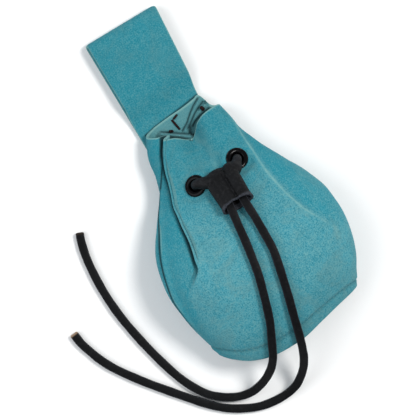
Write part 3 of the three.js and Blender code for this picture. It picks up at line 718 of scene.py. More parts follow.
def leather_material(name, roughness, shade, gloss):
    """Black dyed leather: fine pores, rubbed grey edges with painted highlights on them, and raw brown where
    it is cut.
    """
    colours = bpy.context.scene.pouch_colours
    n = Nodes(name)
    place = n.add("ShaderNodeTexCoord").outputs["Object"]
    pores = n.add("ShaderNodeTexVoronoi", {"Vector": place, "Scale": 1900.0}).outputs["Distance"]
    grain = n.noise(place, 1300, 3, 0.6)
    clouds = n.noise(place, 160, 3, 0.55)
    scuffs = n.noise(place, 620, 4, 0.7)
    dark, pale = rgba(colours.leather, 0.7 * shade), rgba(colours.leather, 1.4 * shade)
    colour = n.mix(n.ramp(clouds, 0.35, 0.65), dark, pale)
    colour = n.tint(colour, n.ramp(scuffs, 0.52, 0.70), 0.5 * shade, SCUFFED_LEATHER)
    # Rubbed wear and painted highlights on edges and on the slider's mouth
    colour = n.tint(colour, n.attribute("wear_and_highlight"), n.ramp(grain, 0.35, 0.65, 0.25, 0.8), LEATHER_WEAR_AND_HIGHLIGHT)
    colour = n.mix(n.attribute("cut"), colour, RAW_LEATHER)
    height = n.math("ADD", n.math("MULTIPLY", pores, 0.6), grain)
    return n.surface({
        "Base Color": colour, "Roughness": n.ramp(grain, 0.3, 0.7, roughness - 0.08, roughness + 0.1),
        "Specular IOR Level": gloss, "Normal": n.bump(height, 0.00012, 0.5)})


def enamel_material(name):
    """Glossy black lacquer over metal, with a little wear along the rim."""
    n = Nodes(name)
    place = n.add("ShaderNodeTexCoord").outputs["Object"]
    clouds = n.noise(place, 350, 3, 0.6)
    chips = n.noise(place, 900, 3, 0.7)
    colour = n.mix(n.ramp(clouds, 0.4, 0.7), LACQUER_DARK, LACQUER_PALE)
    colour = n.tint(colour, n.attribute("wear_and_highlight"), n.ramp(chips, 0.58, 0.68), CHIPPED_LACQUER)
    return n.surface({
        "Base Color": colour, "Roughness": n.ramp(clouds, 0.3, 0.7, 0.12, 0.22), "Specular IOR Level": 0.04,
        "Coat Weight": 0.09, "Coat Roughness": 0.04, "Normal": n.bump(clouds, 0.00005, 0.25)})


def thread_material(name, colour):
    """Waxed thread with the slant of its strands."""
    n = Nodes(name)
    place = n.add("ShaderNodeTexCoord").outputs["Object"]
    strands = n.add("ShaderNodeTexWave", {
        "Vector": place, "Scale": 900.0, "Distortion": 2.0}, bands_direction="DIAGONAL").outputs["Fac"]
    return n.surface({
        "Base Color": n.mix(strands, rgba(colour, 0.6), rgba(colour, 1.25)), "Roughness": 0.6,
        "Specular IOR Level": 0.12, "Normal": n.bump(strands, 0.0001, 0.6)})


def floor_material(name):
    """Matt white floor with the faintest clouds."""
    colours = bpy.context.scene.pouch_colours
    n = Nodes(name)
    place = n.add("ShaderNodeTexCoord").outputs["Object"]
    clouds = n.noise(place, 6, 3, 0.5)
    return n.surface({
        "Base Color": n.mix(clouds, rgba(colours.floor, 0.985), rgba(colours.floor)), "Roughness": 0.9,
        "Specular IOR Level": 0.1})


# The suede bag

# The seam at the hem: its place along the wall and its dip at the lower corner, in shares
SEAM_PLACE = 0.036
SEAM_DIP = 0.020
LOWER_CORNER = 0.74

# Relief at the hem, in millimetres
SEAM_SUNK = 0.7
HEM_RAISED = 0.45
PUCKER_HEIGHT = 0.07
HEM_PUCKERS = 78
CORNER_SUNK = 1.1
CORNERS = (0.735, 0.262)

# Heights at which the back turns to the front, and where the inside of the back panel shows
FRONT_RISE = (4, 12)
PANEL_TOP = 9
PANEL_FROM = 0.8

# The cut edge: how far it rounds out, how far its faces draw in, and its paler run along the wall
EDGE_REACH = 0.22
EDGE_INSET = 0.2
CUT_RUN = (0.994, 0.999)


def ripple(grid):
    """Soft unevenness of stuffed suede, in millimetres."""
    x, y, z = grid[..., 0], grid[..., 1], grid[..., 2]
    slow = np.sin(0.11 * x + 0.07 * y + 1.3) * np.cos(0.09 * y - 0.05 * z + 0.4)
    quick = np.sin(0.27 * x - 0.16 * y + 0.6) * np.sin(0.21 * y + 0.13 * z + 2.1)
    return 0.45 * slow + 0.16 * quick


def tuck_shape(points):
    """How far the tucks lift the inside of the back panel, and the painted shade in the creases beside them.
    """
    lift = np.zeros(points.shape[:-1])
    dark = np.zeros(points.shape[:-1])
    for x0, y0, x1, y1, high0, high1, rise, decay in zip(*TUCKS.values()):
        start = np.array([x0, y0])
        run = np.array([x1 - x0, y1 - y0])
        length = np.linalg.norm(run)
        away = points[..., :2] - start
        share = (away @ run) / length ** 2
        aside = (away @ np.array([-run[1], run[0]])) / length
        ends = window(share, -0.08, 0.0, 0.93, 1.1)
        high = high0 + (high1 - high0) * np.clip(share, 0, 1)
        slope = smoothstep(aside, -0.1, rise) * bell(np.maximum(aside, 0), decay)
        lift = np.maximum(lift, high * ends * slope)
        if y1 > y0:
            dark = np.maximum(dark, ends * bell(aside + 0.25, 0.42))
    for line in PLEATS:
        dark = np.maximum(dark, bell(line_distance(points[..., 0], points[..., 1], line), PLEAT_WIDTH))
    hook = bell(line_distance(points[..., 0], points[..., 1], HOOK), HOOK_WIDTH)
    return lift, np.maximum(dark, hook)


def wall_grids():
    """Outer and inner faces of the wall, from hem to rim, with the shares of each finish."""
    stations = np.unique(np.concatenate([np.linspace(*run) for run in STATION_RUNS]))
    rings = [outer_ring(along) for along in stations]
    outer, wear_and_highlight, deep, dark = [np.stack([ring[k] for ring in rings]) for k in range(4)]
    shares = np.stack([ring_shares(along)[0] for along in stations])
    along = stations[:, None]
    normals = grid_normals(outer)
    front = smoothstep(outer[..., 2], *FRONT_RISE)
    seam_place = seam_line(shares)
    seam = bell(along - seam_place, 0.006)
    below = 1 - smoothstep(along, seam_place - 0.014, seam_place + 0.004)
    pucker = np.sin(2 * np.pi * shares * HEM_PUCKERS) * bell(along - seam_place - 0.01, 0.025)
    corner = sum(bell(shares - place, 0.02) for place in CORNERS) * bell(along, 0.013)
    out = ripple(outer) * front * smoothstep(along, 0.0, 0.1) * (1 - smoothstep(along, 0.85, 1))
    hem = -SEAM_SUNK * seam + HEM_RAISED * below + PUCKER_HEIGHT * pucker
    out = out + front * hem - CORNER_SUNK * corner
    outer = outer + normals * out[..., None]
    outer[..., 2] = np.maximum(outer[..., 2], 0)
    thickness = bpy.context.scene.pouch_sizes.suede / MM
    inner = outer - normals * thickness
    outer = press_flat(outer, EYELET_SEATS, 0)
    inner = press_flat(inner, EYELET_SEATS, thickness)
    # The tucks lift the back panel; painted shade goes into the creases beside them
    lift, crease = tuck_shape(inner)
    behind = (inner[..., 2] < PANEL_TOP) & (along > PANEL_FROM)
    inner[..., 2] += np.where(behind, lift, 0)
    return {
        "outer": outer, "inner": inner, "deep": deep, "stations": stations, "shares": shares,
        "wear_and_highlight": np.clip(wear_and_highlight + 0.2 * seam * front, 0, 1), "dark": np.maximum(dark, 0.3 * seam * front),
        "crease": np.where(behind, crease, 0),
    }


def seam_line(around):
    """Where the seam runs above the hem, as a share along the wall; close to the edge at the corner."""
    return SEAM_PLACE - SEAM_DIP * bell(around - LOWER_CORNER, 0.09)


def rounded_edge(outer, inner, beyond):
    """Two rings that round a cut edge between the faces of the suede, away from the ring beyond it."""
    middle = (outer + inner) / 2
    reach = unit(outer - beyond) * np.linalg.norm(outer - inner, axis=1, keepdims=True) * EDGE_REACH
    return [face * (1 - EDGE_INSET) + middle * EDGE_INSET + reach for face in (outer, inner)]


class POUCH_OT_wall(bpy.types.Operator):
    """The gathered suede wall with its folds, rim, hem and eyelet holes"""
    bl_idname = "pouch.wall"
    bl_label = "Suede wall"

    def execute(self, context):
        wall = wall_grids()
        outer, inner = wall["outer"], wall["inner"]
        rim = rounded_edge(outer[-1], inner[-1], outer[-2])
        hem = rounded_edge(outer[0], inner[0], outer[1])
        rows = [*outer, *rim, *inner[::-1], hem[1], hem[0]]
        count = outer.shape[1]
        faces = band_faces(len(rows), count, close_rows=True)
        piece = mesh_object("suede_wall", np.concatenate(rows), faces, suede_material("suede_wall"))
        bare = np.zeros_like(outer[..., 0])
        near_rim = bare + smoothstep(wall["stations"], *CUT_RUN)[:, None]
        finish = {
            "wear_and_highlight": (wall["wear_and_highlight"], bare, 0),
            "deep": (wall["deep"], bare, 0),
            # Painted shade: fold gaps on the outer face, the tucks' creases on the inner face
            "dark": (wall["dark"], wall["crease"], 0),
            "inside": (bare, bare + 1, 0),
            "cut": (near_rim, near_rim, 1),
        }
        for name, (outside, inside, edge) in finish.items():
            ring = np.full(count, edge)
            set_attribute(piece, name, np.concatenate([*outside, ring, ring, *inside[::-1], ring, ring]))
        outward(piece)
        pierce(piece)
        ride_for(piece, "suede", "pouch_wall")
        return {"FINISHED"}


def pierce(piece):
    """Cuts the eyelet holes through the wall."""
    for place, normal in EYELET_SEATS:
        turn = Vector((0, 0, 1)).rotation_difference(Vector(normal)).to_matrix().to_4x4()
        work = bmesh.new()
        bmesh.ops.create_cone(
            work, cap_ends=True, segments=40, radius1=EYELET_BORE / 2 * MM, radius2=EYELET_BORE / 2 * MM,
            depth=6 * MM)
        bmesh.ops.transform(work, matrix=Matrix.Translation(Vector(place) * MM) @ turn, verts=work.verts)
        mesh = bpy.data.meshes.new("drill")
        work.to_mesh(mesh)
        work.free()
        drill = add_object("drill", mesh)
        cut = piece.modifiers.new("hole", "BOOLEAN")
        cut.object = drill
        cut.solver = "EXACT"
        apply_modifiers(piece)
        bpy.data.objects.remove(drill)


def apply_modifiers(piece):
    """Makes the evaluated shape the piece's own mesh."""
    graph = bpy.context.evaluated_depsgraph_get()
    mesh = bpy.data.meshes.new_from_object(piece.evaluated_get(graph))
    piece.modifiers.clear()
    old = piece.data
    piece.data = mesh
    mesh.name = piece.name
    bpy.data.meshes.remove(old)


# The base: gap to the hem, how far up the wall its turned rim reaches, shares from rim to middle
BASE_GAP = 0.35
BASE_RIM = 0.046
BASE_DISH = [0.985, 0.9, 0.7, 0.45, 0.2, 0.05]


class POUCH_OT_base(bpy.types.Operator):
    """The oval base with its rim inside the hem"""
    bl_idname = "pouch.base"
    bl_label = "Base"

    def execute(self, context):
        thickness = context.scene.pouch_sizes.suede / MM
        around = np.linspace(0, 1, 160, endpoint=False)
        hem_rings = [plain_ring(around, along) for along in (0.0, BASE_RIM)]
        outside, inside = [
            [ring - flat_normals(ring) * distance for ring in hem_rings]
            for distance in (thickness + BASE_GAP, 2 * thickness + BASE_GAP)]
        centre = outside[1].mean(axis=0)
        drop = np.array([0, -thickness, 0])
        upper = [centre + (outside[1] - centre) * share for share in BASE_DISH[::-1]]
        lower = [centre + drop + (inside[1] - centre) * share for share in BASE_DISH]
        rings = [*upper, outside[1], (outside[0] + outside[1]) / 2, outside[0], inside[0],
                 (inside[0] + inside[1] + drop) / 2, inside[1] + drop, *lower]
        piece = swept("suede_base", rings, suede_material("suede_base"))
        ride_for(piece, "suede", "base")
        return {"FINISHED"}


# The belt loop

LOOP_TOP = (-0.102 * WIDTH, 1.0085 * LENGTH)
LOOP_TURN = math.radians(5)
LOOP_WIDTH = 40.0
LOOP_TAPER = 0.075
LOOP_REACH = 72.0
LOOP_SLOT = 5.4
LOOP_CORNER = 2.4
LOOP_COUNTS = {"along": 300, "across": 61}
LOOP_FOLD_BACK = 0.8
LOOP_FOLD_LEAD = 3
LOOP_WAVE = 0.18
LOOP_EDGE_THINNING = 0.35

# Shares of the reach over which the upper layer comes down on the lower one
LOOP_SHUT = (0.45, 0.68)

# The bag's rim where it meets the loop's face, along which a thin shadow is painted on the loop: X and Y
BACK_RIM = [(-22.9, 67.4), (-17.0, 69.2), (-8.0, 70.9), (0.0, 72.5), (9.2, 74.6)]


def loop_line(thickness):
    """The strap's middle line from the lower end round the fold to the upper end, run and height."""
    radius = (thickness + LOOP_SLOT) / 2
    low = thickness / 2
    lower = [(-LOOP_REACH, low), (-LOOP_REACH * 0.5, low), (-radius - LOOP_FOLD_LEAD, low)]
    fold = []
    for turn in np.linspace(-math.pi / 2, math.pi / 2, 13):
        back = -radius - LOOP_FOLD_BACK + radius * math.cos(turn)
        fold.append((back, low + radius + radius * math.sin(turn)))
    high = low + 2 * radius
    shut = 1.5 * thickness + 0.3
    upper = []
    for share in np.linspace(0.12, 1, 40):
        drop = smoothstep(share, *LOOP_SHUT)
        upper.append((-LOOP_REACH * share, high + (shut - high) * float(drop)))
    return np.array(lower + fold + upper)


def loop_ring(length, height, lift, thickness):
    """A cut across the strap, its upper face and then its lower one, and which points are on a cut edge."""
    across = np.linspace(-0.5, 0.5, LOOP_COUNTS["across"])
    edge = np.abs(across) * 2
    low = 1 - smoothstep(height, thickness, thickness + LOOP_SLOT)
    wave = LOOP_WAVE * np.sin(0.21 * length + 6.0 * across) * smoothstep(-length, 2, 12) * (1 - low)
    rounding = max(0.0, float(length) + LOOP_CORNER)
    soft = LOOP_CORNER - math.sqrt(max(0.0, LOOP_CORNER ** 2 - rounding ** 2))
    x = -LOOP_WIDTH / 2 + (across + 0.5) * (LOOP_WIDTH + length * LOOP_TAPER) - low
    x = x - soft * smoothstep(across, 0.3, 0.5) + 0.4 * soft * (1 - smoothstep(across, -0.5, -0.3))
    centre = np.stack([x, np.full(len(x), length), height + wave], axis=1)
    half = thickness / 2 - LOOP_EDGE_THINNING * smoothstep(edge, 0.95, 1.0)
    step = half[:, None] * np.array([0, *lift])
    cut = edge > 0.99
    return np.concatenate([centre + step, (centre - step)[::-1]]), np.concatenate([cut, cut[::-1]])


class POUCH_OT_belt_loop(bpy.types.Operator):
    """The suede strap, folded at the top and sewn behind the neck"""
    bl_idname = "pouch.belt_loop"
    bl_label = "Belt loop"

    def execute(self, context):
        thickness = context.scene.pouch_sizes.suede / MM
        corners = loop_line(thickness)
        run = np.concatenate([[0], np.cumsum(np.linalg.norm(np.diff(corners, axis=0), axis=1))])
        even = np.linspace(0, run[-1], LOOP_COUNTS["along"])
        line = np.stack([np.interp(even, run, corners[:, k]) for k in range(2)], axis=1)
        for _ in range(3):
            line[1:-1] = (line[:-2] + 2 * line[1:-1] + line[2:]) / 4
        way = unit(np.gradient(line, axis=0))
        lifts = np.stack([-way[:, 1], way[:, 0]], axis=1)
        cosine, sine = math.cos(LOOP_TURN), math.sin(LOOP_TURN)
        placed = []
        cuts = []
        for (length, height), lift in zip(line, lifts):
            ring, cut = loop_ring(length, height, lift, thickness)
            x = LOOP_TOP[0] + cosine * ring[:, 0] - sine * ring[:, 1]
            y = LOOP_TOP[1] + sine * ring[:, 0] + cosine * ring[:, 1]
            placed.append(np.stack([x, y, np.maximum(ring[:, 2], 0)], axis=1))
            cuts.append(cut)
        piece = swept("suede_loop", placed, suede_material("suede_loop"))
        flags = np.concatenate([np.concatenate(cuts).astype(float), [1, 1]])
        set_attribute(piece, "cut", flags * 0.7)
        set_attribute(piece, "wear_and_highlight", flags * 0.5)
        set_attribute(piece, "deep", np.full(len(flags), 0.6))
        # Painted shadow on the loop along the line where the bag's rim lies over it
        spots = np.array([v.co for v in piece.data.vertices]) / MM
        near = bell(line_distance(spots[:, 0], spots[:, 1], BACK_RIM), 0.55)
        set_attribute(piece, "dark", 0.9 * near * (spots[:, 2] > 1))
        ride_for(piece, "suede", "belt_loop")
        return {"FINISHED"}


# Eyelets

EYELET_CORNERS = 56

# Heights over the suede's outer face: crown, underside of the rim, grip behind the suede, back
CROWN_FOOT = 0.45
CROWN_RISE = 0.95
CROWN_POWER = 0.8
RIM_UNDERSIDE = 0.32
BACK_GRIP = -1.92
BACK_END = -2.5

# Thickness of the tube in the hole, and how much narrower the flange behind is than the rim
TUBE_WALL = 0.5
FLANGE_INSET = 0.8


def eyelet_profile():
    """Radius and height round the eyelet's cross-section."""
    outer = EYELET_OUTER / 2
    hole = EYELET_HOLE / 2
    middle = (outer + hole) / 2
    half = (outer - hole) / 2
    crown = []
    for turn in np.linspace(0, math.pi, 13):
        height = CROWN_FOOT + CROWN_RISE * math.sin(turn) ** CROWN_POWER
        crown.append((middle - half * math.cos(turn), height))
    tube = hole + TUBE_WALL
    flange = outer - FLANGE_INSET
    return [
        (hole, BACK_END), (hole, 0.3), *crown[1:-1], (outer, RIM_UNDERSIDE), (tube, RIM_UNDERSIDE),
        (tube, BACK_GRIP), (flange, BACK_GRIP), (flange, BACK_END),
    ]


class POUCH_OT_eyelets(bpy.types.Operator):
    """Two lacquered eyelets, rolled over the outside of the suede"""
    bl_idname = "pouch.eyelets"
    bl_label = "Eyelets"

    def execute(self, context):
        material = enamel_material("black_lacquer")
        for name, (place, normal) in zip(("eyelet_left", "eyelet_right"), EYELET_SEATS):
            turn = Vector((0, 0, 1)).rotation_difference(Vector(normal))
            rings = []
            wear_and_highlight = []
            for radius, height in eyelet_profile():
                ring = []
                for i in range(EYELET_CORNERS):
                    angle = 2 * math.pi * i / EYELET_CORNERS
                    local = Vector((radius * math.cos(angle), radius * math.sin(angle), height))
                    ring.append(np.array(turn @ local) + place)
                rings.append(np.array(ring))
                wear_and_highlight.append(np.full(EYELET_CORNERS, 1.0 if radius > EYELET_OUTER / 2 - 0.5 else 0.0))
            faces = band_faces(len(rings), EYELET_CORNERS, close_rows=True)
            piece = mesh_object("lacquer_" + name, np.concatenate(rings), faces, material)
            set_attribute(piece, "wear_and_highlight", np.concatenate(wear_and_highlight))
            outward(piece)
            ride_for(piece, "enamel", name)
        return {"FINISHED"}


# The slider

SLIDER_WIDTH = 17.4
SLIDER_HEIGHT = 7.8
SLIDER_WALL = 1.3
SLIDER_CORNER = 0.8
SLIDER_MOUTH = np.array([3.56, 15.9, 40.05])
SLIDER_TOP = np.array([1.60, 35.9, 27.9])
SLIDER_RUN = np.linalg.norm(SLIDER_MOUTH - SLIDER_TOP)
SLIDER_OUTSIDE = [0, 0.02, 0.06, 0.12, 0.2, 0.3, 0.45, 0.6, 0.75, 0.88, 0.96, 1.0]
SLIDER_INSIDE = [1.0, 0.9, 0.75, 0.6, 0.45, 0.3]
SHOULDER_BEND = 3.0
SHOULDER_DEPTH = 3.6

# Where a shoulder meets the slider's corner and where it ends inside: share of its run, distance aside
SHOULDER_CORNER = (0.16, 8.2)
SHOULDER_END = (0.24, 3.2)
SLIDER_SECTIONS = table("run wide high", [
    (0.00, 0.93, 0.52), (0.05, 0.98, 0.70), (0.18, 1.00, 0.84), (0.45, 1.00, 0.92),
    (0.75, 0.97, 0.96), (0.90, 0.96, 0.97), (0.96, 0.99, 1.02), (1.00, 1.01, 1.06),
])


def slider_ring(run, thickness):
    """One ring of the sleeve, pinched along its middle."""
    axis = unit(SLIDER_MOUTH - SLIDER_TOP)
    across = unit(np.cross(axis, [0, 0, 1]))
    normal = np.cross(across, axis)
    wide = at(SLIDER_SECTIONS, "wide", run) * SLIDER_WIDTH / 2 - thickness
    high = at(SLIDER_SECTIONS, "high", run) * SLIDER_HEIGHT / 2 - thickness
    turn = np.linspace(0, 2 * np.pi, 64, endpoint=False)
    x = wide * bow(np.cos(turn), SLIDER_CORNER)
    z = high * bow(np.sin(turn), SLIDER_CORNER)
    middle = -0.95 - 1.8 * (1 - smoothstep(run, 0, 0.4))
    valley = 1.7 * bell(x - middle, 0.6) + 1.2 * bell(x - middle, 2.4)
    dent = 0.6 * bell(x - 5.4 + 2 * run, 1.1)
    z = z - (valley + dent) * (z > 0) * (1 - 0.8 * smoothstep(run, 0.85, 1.0))
    back = 1.5 * smoothstep(run, 0.75, 1.0) * (1 - (x / (wide + thickness)) ** 2) * smoothstep(z, 0, high)
    place = SLIDER_TOP + axis * (SLIDER_RUN * run - back)[:, None]
    return place + x[:, None] * across + z[:, None] * normal


def shoulder_path(seat, side):
    """From inside the slider's top corner over the eyelet's edge and down through its hole."""
    place, normal = seat
    axis = SLIDER_MOUTH - SLIDER_TOP
    corner, inside = [
        SLIDER_TOP + axis * share - np.array([aside * side, 0, 0])
        for share, aside in (SHOULDER_CORNER, SHOULDER_END)]
    towards = corner - place
    towards = unit(towards - normal * (towards @ normal))
    path = [place - normal * SHOULDER_DEPTH]
    for turn in np.linspace(0, math.pi / 2, 5):
        aside = towards * SHOULDER_BEND * (1 - math.cos(turn))
        path.append(place + aside + normal * (0.3 + SHOULDER_BEND * math.sin(turn)))
    return [*path, corner, inside]


def oval_tube(path, wide, high, count=20):
    """Oval rings along a path, with half their width and height at each of its points."""
    tangents = unit(np.gradient(path, axis=0))
    side = unit(np.cross(path[-1] - path[0], [0, 0, 1.0]))
    turn = np.linspace(0, 2 * np.pi, count, endpoint=False)[:, None]
    rings = []
    for point, tangent, half_width, half_height in zip(path, tangents, wide, high):
        across = unit(side - tangent * (side @ tangent))
        up = np.cross(tangent, across)
        rings.append(point + half_width * np.cos(turn) * across + half_height * np.sin(turn) * up)
    return rings


class POUCH_OT_slider(bpy.types.Operator):
    """The black leather sleeve with a shoulder into each eyelet"""
    bl_idname = "pouch.slider"
    bl_label = "Slider"

    def execute(self, context):
        material = leather_material("slider_leather", roughness=0.5, shade=0.8, gloss=0.12)
        outside = [slider_ring(run, 0) for run in SLIDER_OUTSIDE]
        inside = [slider_ring(run, SLIDER_WALL) for run in SLIDER_INSIDE]
        parts = [swept("sleeve", [*outside, *inside], material)]
        for seat, side in zip(EYELET_SEATS, (1, -1)):
            path, _ = smooth_path(shoulder_path(seat, side), step=0.5)
            share = np.linspace(0, 1, len(path))
            wide = 2.4 + 0.9 * smoothstep(share, 0.3, 0.75) + 0.5 * smoothstep(share, 0.75, 1.0)
            high = 2.1 + 0.2 * smoothstep(share, 0.4, 0.95)
            parts.append(swept("shoulder", oval_tube(path, wide, high), material))
        piece = fuse("leather_slider", parts, material)
        spots = np.array([v.co for v in piece.data.vertices]) / MM
        run = (spots - SLIDER_TOP) @ unit(SLIDER_MOUTH - SLIDER_TOP) / SLIDER_RUN
        # Rubbed wear along the top edge; a painted highlight along the rolled rim of the mouth
        top_edge = 0.2 * window(run, -0.12, -0.06, 0.02, 0.10)
        lip_highlight = smoothstep(run, 0.89, 0.92)
        set_attribute(piece, "wear_and_highlight", np.maximum(lip_highlight, top_edge))
        ride_for(piece, "thong", "slider")
        return {"FINISHED"}


def fuse(name, parts, material):
    """Joins overlapping parts into one skin and softens it."""
    vertices = []
    faces = []
    for part in parts:
        start = len(vertices)
        vertices += [tuple(v.co) for v in part.data.vertices]
        faces += [[start + i for i in p.vertices] for p in part.data.polygons]
    mesh = bpy.data.meshes.new(name)
    mesh.from_pydata(vertices, [], faces)
    mesh.materials.append(material)
    piece = add_object(name, mesh)
    for part in parts:
        bpy.data.objects.remove(part)
    remesh = piece.modifiers.new("skin", "REMESH")
    remesh.mode = "VOXEL"
    remesh.voxel_size = 0.3 * MM
    soften = piece.modifiers.new("soften", "SMOOTH")
    soften.factor = 0.5
    soften.iterations = 6
    apply_modifiers(piece)
    shade_smooth(piece.data)
    return piece


# Laces and the hidden drawstring

def thong_outline():
    """A flat thong's section with softened corners, from its right side round; its third column is the share
    of rubbed wear and painted highlight along each corner.
    """
    wide = THONG_WIDTH / 2
    high = THONG_THICKNESS / 2
    soft = 0.42
    points = []
    for corner, start in (((1, 1), 0), ((-1, 1), 90), ((-1, -1), 180), ((1, -1), 270)):
        for step in (0, 45, 90):
            turn = math.radians(start + step)
            x = corner[0] * (wide - soft) + soft * math.cos(turn)
            z = corner[1] * (high - soft) + soft * math.sin(turn)
            points.append((x, z, 1.0 if step == 45 else 0.05))
    return np.array(points)


def lace(name, node, route, raw, material):
    """A free lace along its route, at its real length; raw is how pale its cut end shows."""
    path, length = smooth_path(route, step=0.9)
    tangent, across, up = path_frames(path)
    outline = thong_outline()
    rings = []
    for i, share in enumerate(np.linspace(0, length, len(path))):
        swell = 1 + 0.02 * math.sin(0.35 * share) + 0.012 * math.sin(0.9 * share + 1)
        rings.append(path[i] + swell * (outline[:, :1] * across[i] + outline[:, 1:2] * up[i]))
    start = rings[0] * 0.15 + path[0] * 0.85
    tip = path[-1] + tangent[-1] * 0.6
    end = [rings[-1] * 0.98 + path[-1] * 0.02, rings[-1] * 0.75 + tip * 0.25 + tangent[-1] * 0.3]
    piece = swept(name, [start, *rings, *end], material)
    bare = np.zeros(len(outline))
    wear_and_highlight = [bare, *[outline[:, 2]] * len(rings), bare, bare]
    cut = [*[bare] * len(rings), *[bare + raw] * 3]
    set_attribute(piece, "wear_and_highlight", np.concatenate([*wear_and_highlight, [0, 0]]))
    set_attribute(piece, "cut", np.concatenate([*cut, [0, 1]]))
    ride_for(piece, "thong", node)


class POUCH_OT_laces(bpy.types.Operator):
    """The two free ends of the thong, and its hidden stretch inside the neck"""
    bl_idname = "pouch.laces"
    bl_label = "Laces"

    def execute(self, context):
        material = leather_material("thong_leather", roughness=0.5, shade=0.35, gloss=0.08)
        lace("thong_left", "lace_left", LEFT_ROUTE, raw=0.1, material=material)
        lace("thong_right", "lace_right", RIGHT_ROUTE, raw=1.0, material=material)
        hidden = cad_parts["drawstring"]
        hidden.data.materials.clear()
        hidden.data.materials.append(material)
        return {"FINISHED"}


# Stitches

def stitch_tree():
    """Stitches along an edge line: resampled, turned to follow it, realized and given thread."""
    tree = bpy.data.node_groups.new("stitches", "GeometryNodeTree")
    tree.is_modifier = True
    for name, way, kind in (
            ("Line", "INPUT", "Geometry"), ("Pitch", "INPUT", "Float"), ("Length", "INPUT", "Float"),
            ("Thread", "INPUT", "Float"), ("Finish", "INPUT", "Material"),
            ("Stitches", "OUTPUT", "Geometry")):
        tree.interface.new_socket(name, in_out=way, socket_type="NodeSocket" + kind)
    kinds = {
        "start": "NodeGroupInput",
        "curve": "GeometryNodeMeshToCurve",
        "even": "GeometryNodeResampleCurve",
        "tangent": "GeometryNodeInputTangent",
        "turn": "FunctionNodeAlignRotationToVector",
        "bead": "GeometryNodeMeshUVSphere",
        "size": "ShaderNodeCombineXYZ",
        "place": "GeometryNodeInstanceOnPoints",
        "real": "GeometryNodeRealizeInstances",
        "finish": "GeometryNodeSetMaterial",
        "end": "NodeGroupOutput",
    }
    nodes = {name: tree.nodes.new(kind) for name, kind in kinds.items()}
    nodes["even"].mode = "LENGTH"
    nodes["turn"].axis = "Z"
    for socket, value in (("Segments", 8), ("Rings", 6), ("Radius", 0.5)):
        nodes["bead"].inputs[socket].default_value = value
    for source, output, target, socket in (
            ("start", "Line", "curve", "Mesh"), ("curve", "Curve", "even", "Curve"),
            ("start", "Pitch", "even", "Length"), ("even", "Curve", "place", "Points"),
            ("bead", "Mesh", "place", "Instance"), ("tangent", "Tangent", "turn", "Vector"),
            ("turn", "Rotation", "place", "Rotation"), ("start", "Thread", "size", "X"),
            ("start", "Thread", "size", "Y"), ("start", "Length", "size", "Z"),
            ("size", "Vector", "place", "Scale"), ("place", "Instances", "real", "Geometry"),
            ("real", "Geometry", "finish", "Geometry"), ("start", "Finish", "finish", "Material"),
            ("finish", "Geometry", "end", "Stitches")):
        tree.links.new(nodes[source].outputs[output], nodes[target].inputs[socket])
    return tree


def stitch_line(name, points, sizes, thread):
    """A row of stitches along points in millimetres, as a plain mesh."""
    mesh = bpy.data.meshes.new(name)
    mesh.from_pydata([tuple(p * MM) for p in points], [(i, i + 1) for i in range(len(points) - 1)], [])
    piece = add_object(name, mesh)
    modifier = piece.modifiers.new("stitches", "NODES")
    modifier.node_group = stitch_tree()
    sockets = {item.name: item.identifier for item in modifier.node_group.interface.items_tree}
    modifier[sockets["Pitch"]] = sizes.stitch_pitch
    modifier[sockets["Length"]] = sizes.stitch_length
    modifier[sockets["Thread"]] = sizes.thread
    modifier[sockets["Finish"]] = thread
    apply_modifiers(piece)
    shade_smooth(piece.data)
    return piece


# Stitches that hold the belt loop, seen inside the mouth: ends in X and Y, and half thickness
LOOP_STITCHES = table("x0 y0 x1 y1 thick", [
    (-4.1, 69.9, -6.6, 68.7, 0.55), (-7.6, 68.7, -6.0, 62.6, 0.55), (-11.0, 63.9, -9.7, 63.3, 0.75),
    (8.4, 67.9, 9.0, 66.4, 1.0),
])


STITCH_REACH = 1.2
STITCH_ARCH = 0.35
STITCH_CLEARANCE = 0.05


def loop_stitch(name, row, panel, thread):
    """One thick stitch, arched over the panel that it lies on."""
    x0, y0, x1, y1, thick = row
    arch = []
    for share in np.linspace(0, 1, 9):
        x = x0 + (x1 - x0) * share
        y = y0 + (y1 - y0) * share
        near = panel[np.hypot(panel[:, 0] - x, panel[:, 1] - y) < STITCH_REACH]
        z = near[:, 2].max() if len(near) else STRAP_STACK + 2
        arch.append((x, y, z + STITCH_ARCH * math.sin(math.pi * share) + STITCH_CLEARANCE))
    path, _ = smooth_path(arch, step=0.2)
    halves = np.full(len(path), thick)
    return swept(name, oval_tube(path, halves, halves, count=10), thread)


class POUCH_OT_stitches(bpy.types.Operator):
    """The stitches of the hem and those that hold the belt loop"""
    bl_idname = "pouch.stitches"
    bl_label = "Stitches"

    def execute(self, context):
        wall = wall_grids()
        outer, inner = wall["outer"], wall["inner"]
        rows = np.argmin(np.abs(wall["stations"][:, None] - seam_line(wall["shares"][3])), axis=0)
        columns = np.arange(outer.shape[1])
        seam = outer[rows, columns] + grid_normals(outer)[rows, columns] * 0.1
        show = seam[:, 2] > 3.0
        first = int(np.argmax(show))
        last = len(show) - int(np.argmax(show[::-1]))
        thread = thread_material("hem_thread", HEM_THREAD)
        ride_for(stitch_line("hem_stitches", seam[first:last], context.scene.pouch_sizes, thread), "suede")
        panel = inner[(inner[..., 1] > 54) & (inner[..., 2] < 11)]
        thread = thread_material("loop_thread", context.scene.pouch_colours.thread)
        for i, row in enumerate(zip(*LOOP_STITCHES.values()), 1):
            ride_for(loop_stitch("loop_stitch_" + str(i), row, panel, thread), "thong")
        return {"FINISHED"}


# Floor, lights and camera

PHOTO_TURN = math.radians(26)
PHOTO_CENTRE = (-10.6, 21.0, 12.0)
PHOTO_SPAN = 208.0
SENSOR = 36.0
FLOOR_HALF = 3.0
FLOOR_DROP = 0.05

